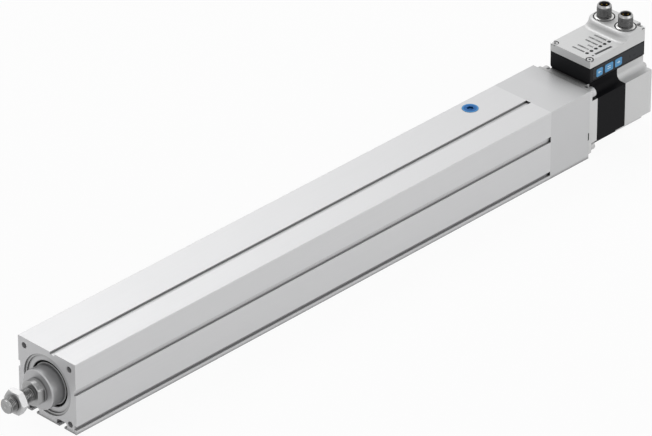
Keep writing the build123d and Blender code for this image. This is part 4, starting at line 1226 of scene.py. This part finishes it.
@dataclass(frozen=True)
class SoftBox:
    """A square lamp: its name, its place and side in metres, and its power in watts."""

    name: str
    place: Point
    side: float
    power: float

    def hang(self) -> None:
        """Hangs the lamp so that it faces the middle of the cylinder."""
        data = bpy.data.lights.new(self.name, "AREA")
        data.shape = "SQUARE"
        data.size = self.side
        data.energy = self.power
        lamp = placed(self.name, data)
        lamp.location = self.place
        target = (cad_box[0] + cad_box[1]) / 2
        lamp.rotation_euler = (target - Vector(self.place)).to_track_quat("-Z", "Y").to_euler()


@dataclass
class Studio:
    """Pale floor, soft lamps, a white background and the camera at the photograph's angle."""

    floor_size: float = 40.0
    floor_colour: str = "#F0F0F0"
    floor_glow: float = 0.94
    sky_colour: str = "#FFFFFF"
    sky_span: Pair = (-0.1, 0.9)
    sky_strength: float = 0.27
    sky_shares: Pair = (0.75, 1.15)
    lamps: tuple[SoftBox, ...] = (
        SoftBox("key_lamp", (0.9, 1.45, 2.1), 1.6, 28.0),
        SoftBox("side_lamp", (0.9, -2.2, 0.9), 1.8, 19.0),
        SoftBox("front_lamp", (-2.2, -0.3, 0.7), 1.4, 6.0),
    )
    eye: Point = (-2.6058, -2.8301, 2.4642)
    look: Point = (0.6119, 0.5982, -0.5174)
    lens_mm: float = 347.5
    sensor_mm: float = 36.0
    sight: Pair = (0.1, 100.0)

    def make(self) -> None:
        """Sets up the whole studio."""
        self._floor()
        self._world()
        for lamp in self.lamps:
            lamp.hang()
        self._camera()
        bpy.context.scene.view_settings.view_transform = "Standard"

    def _whitened(self, tree: Tree, lit: bpy.types.Node, white: bpy.types.Node, glow: float) -> Socket:
        """Shows white to the rays that see the background: the camera's, and those in metal and glass.

        Args:
            tree: The node tree of the floor or the world.
            lit: The shader that all other rays meet.
            white: The white shader.
            glow: How much of the white shows.

        Returns:
            The mixed shader.
        """
        path = add_node(tree, "ShaderNodeLightPath").outputs
        both = add_node(tree, "ShaderNodeMath", {0: path["Is Camera Ray"], 1: path["Is Glossy Ray"]},
                        operation="ADD").outputs[0]
        seen = add_node(tree, "ShaderNodeMath", {0: both, 1: path["Is Transmission Ray"]},
                        operation="ADD", use_clamp=True).outputs[0]
        share = add_node(tree, "ShaderNodeMath", {0: seen, 1: glow}, operation="MULTIPLY").outputs[0]
        return add_node(tree, "ShaderNodeMixShader", {
            0: share, 1: lit.outputs[0], 2: white.outputs[0]}).outputs[0]

    def _floor(self) -> None:
        """Lays the floor under the profile; it shows white and keeps a soft shadow."""
        half = self.floor_size / 2
        level = cad_box[0].z
        corners = [(x, y, level) for x, y in ((-half, -half), (half, -half), (half, half), (-half, half))]
        mesh = bpy.data.meshes.new("floor")
        mesh.from_pydata(corners, [], [(0, 1, 2, 3)])
        material = bpy.data.materials.new("paper_backdrop_matte")
        tree = emptied(material)
        paper = add_node(tree, "ShaderNodeBsdfDiffuse", {"Color": linear(self.floor_colour)})
        white = add_node(tree, "ShaderNodeEmission", {"Color": linear("#FFFFFF"), "Strength": 1.0})
        shown = self._whitened(tree, paper, white, self.floor_glow)
        add_node(tree, "ShaderNodeOutputMaterial", {"Surface": shown})
        mesh.materials.append(material)
        floor = placed("floor", mesh)

    def _world(self) -> None:
        """Surrounds the scene with soft light, brighter from above, and shows it white."""
        world = bpy.data.worlds.new("studio")
        bpy.context.scene.world = world
        tree = emptied(world)
        way = add_node(tree, "ShaderNodeTexCoord").outputs["Generated"]
        up = add_node(tree, "ShaderNodeSeparateXYZ", {0: way}).outputs[2]
        low, high = (self.sky_strength * share for share in self.sky_shares)
        level = add_node(tree, "ShaderNodeMapRange", {
            0: up, 1: self.sky_span[0], 2: self.sky_span[1], 3: low, 4: high})
        light = add_node(tree, "ShaderNodeBackground", {
            "Color": linear(self.sky_colour), "Strength": level.outputs[0]})
        white = add_node(tree, "ShaderNodeBackground", {"Color": linear("#FFFFFF"), "Strength": 1.0})
        add_node(tree, "ShaderNodeOutputWorld", {"Surface": self._whitened(tree, light, white, 1.0)})

    def _camera(self) -> None:
        """Sets the camera where the photograph was taken from."""
        data = bpy.data.cameras.new("camera")
        data.sensor_width = self.sensor_mm
        data.lens = self.lens_mm
        data.clip_start, data.clip_end = self.sight
        camera = placed("camera", data)
        camera.location = self.eye
        camera.rotation_euler = Vector(self.look).to_track_quat("-Z", "Y").to_euler()
        bpy.context.scene.camera = camera


def main() -> None:
    """Dresses the solids, makes the detailed pieces and sets up the studio."""
    logging.basicConfig(level=logging.INFO, format="%(message)s")
    shop = Workshop()
    shop.dress_solids()
    RodEnd(shop).make()
    RodWiper(shop).make()
    PlugConnectors(shop).make()
    StatusPanel(shop).make()
    PaintedJointShade(shop).make()
    KeySymbols(shop).make()
    Studio().make()


if __name__ == "__main__":
    main()
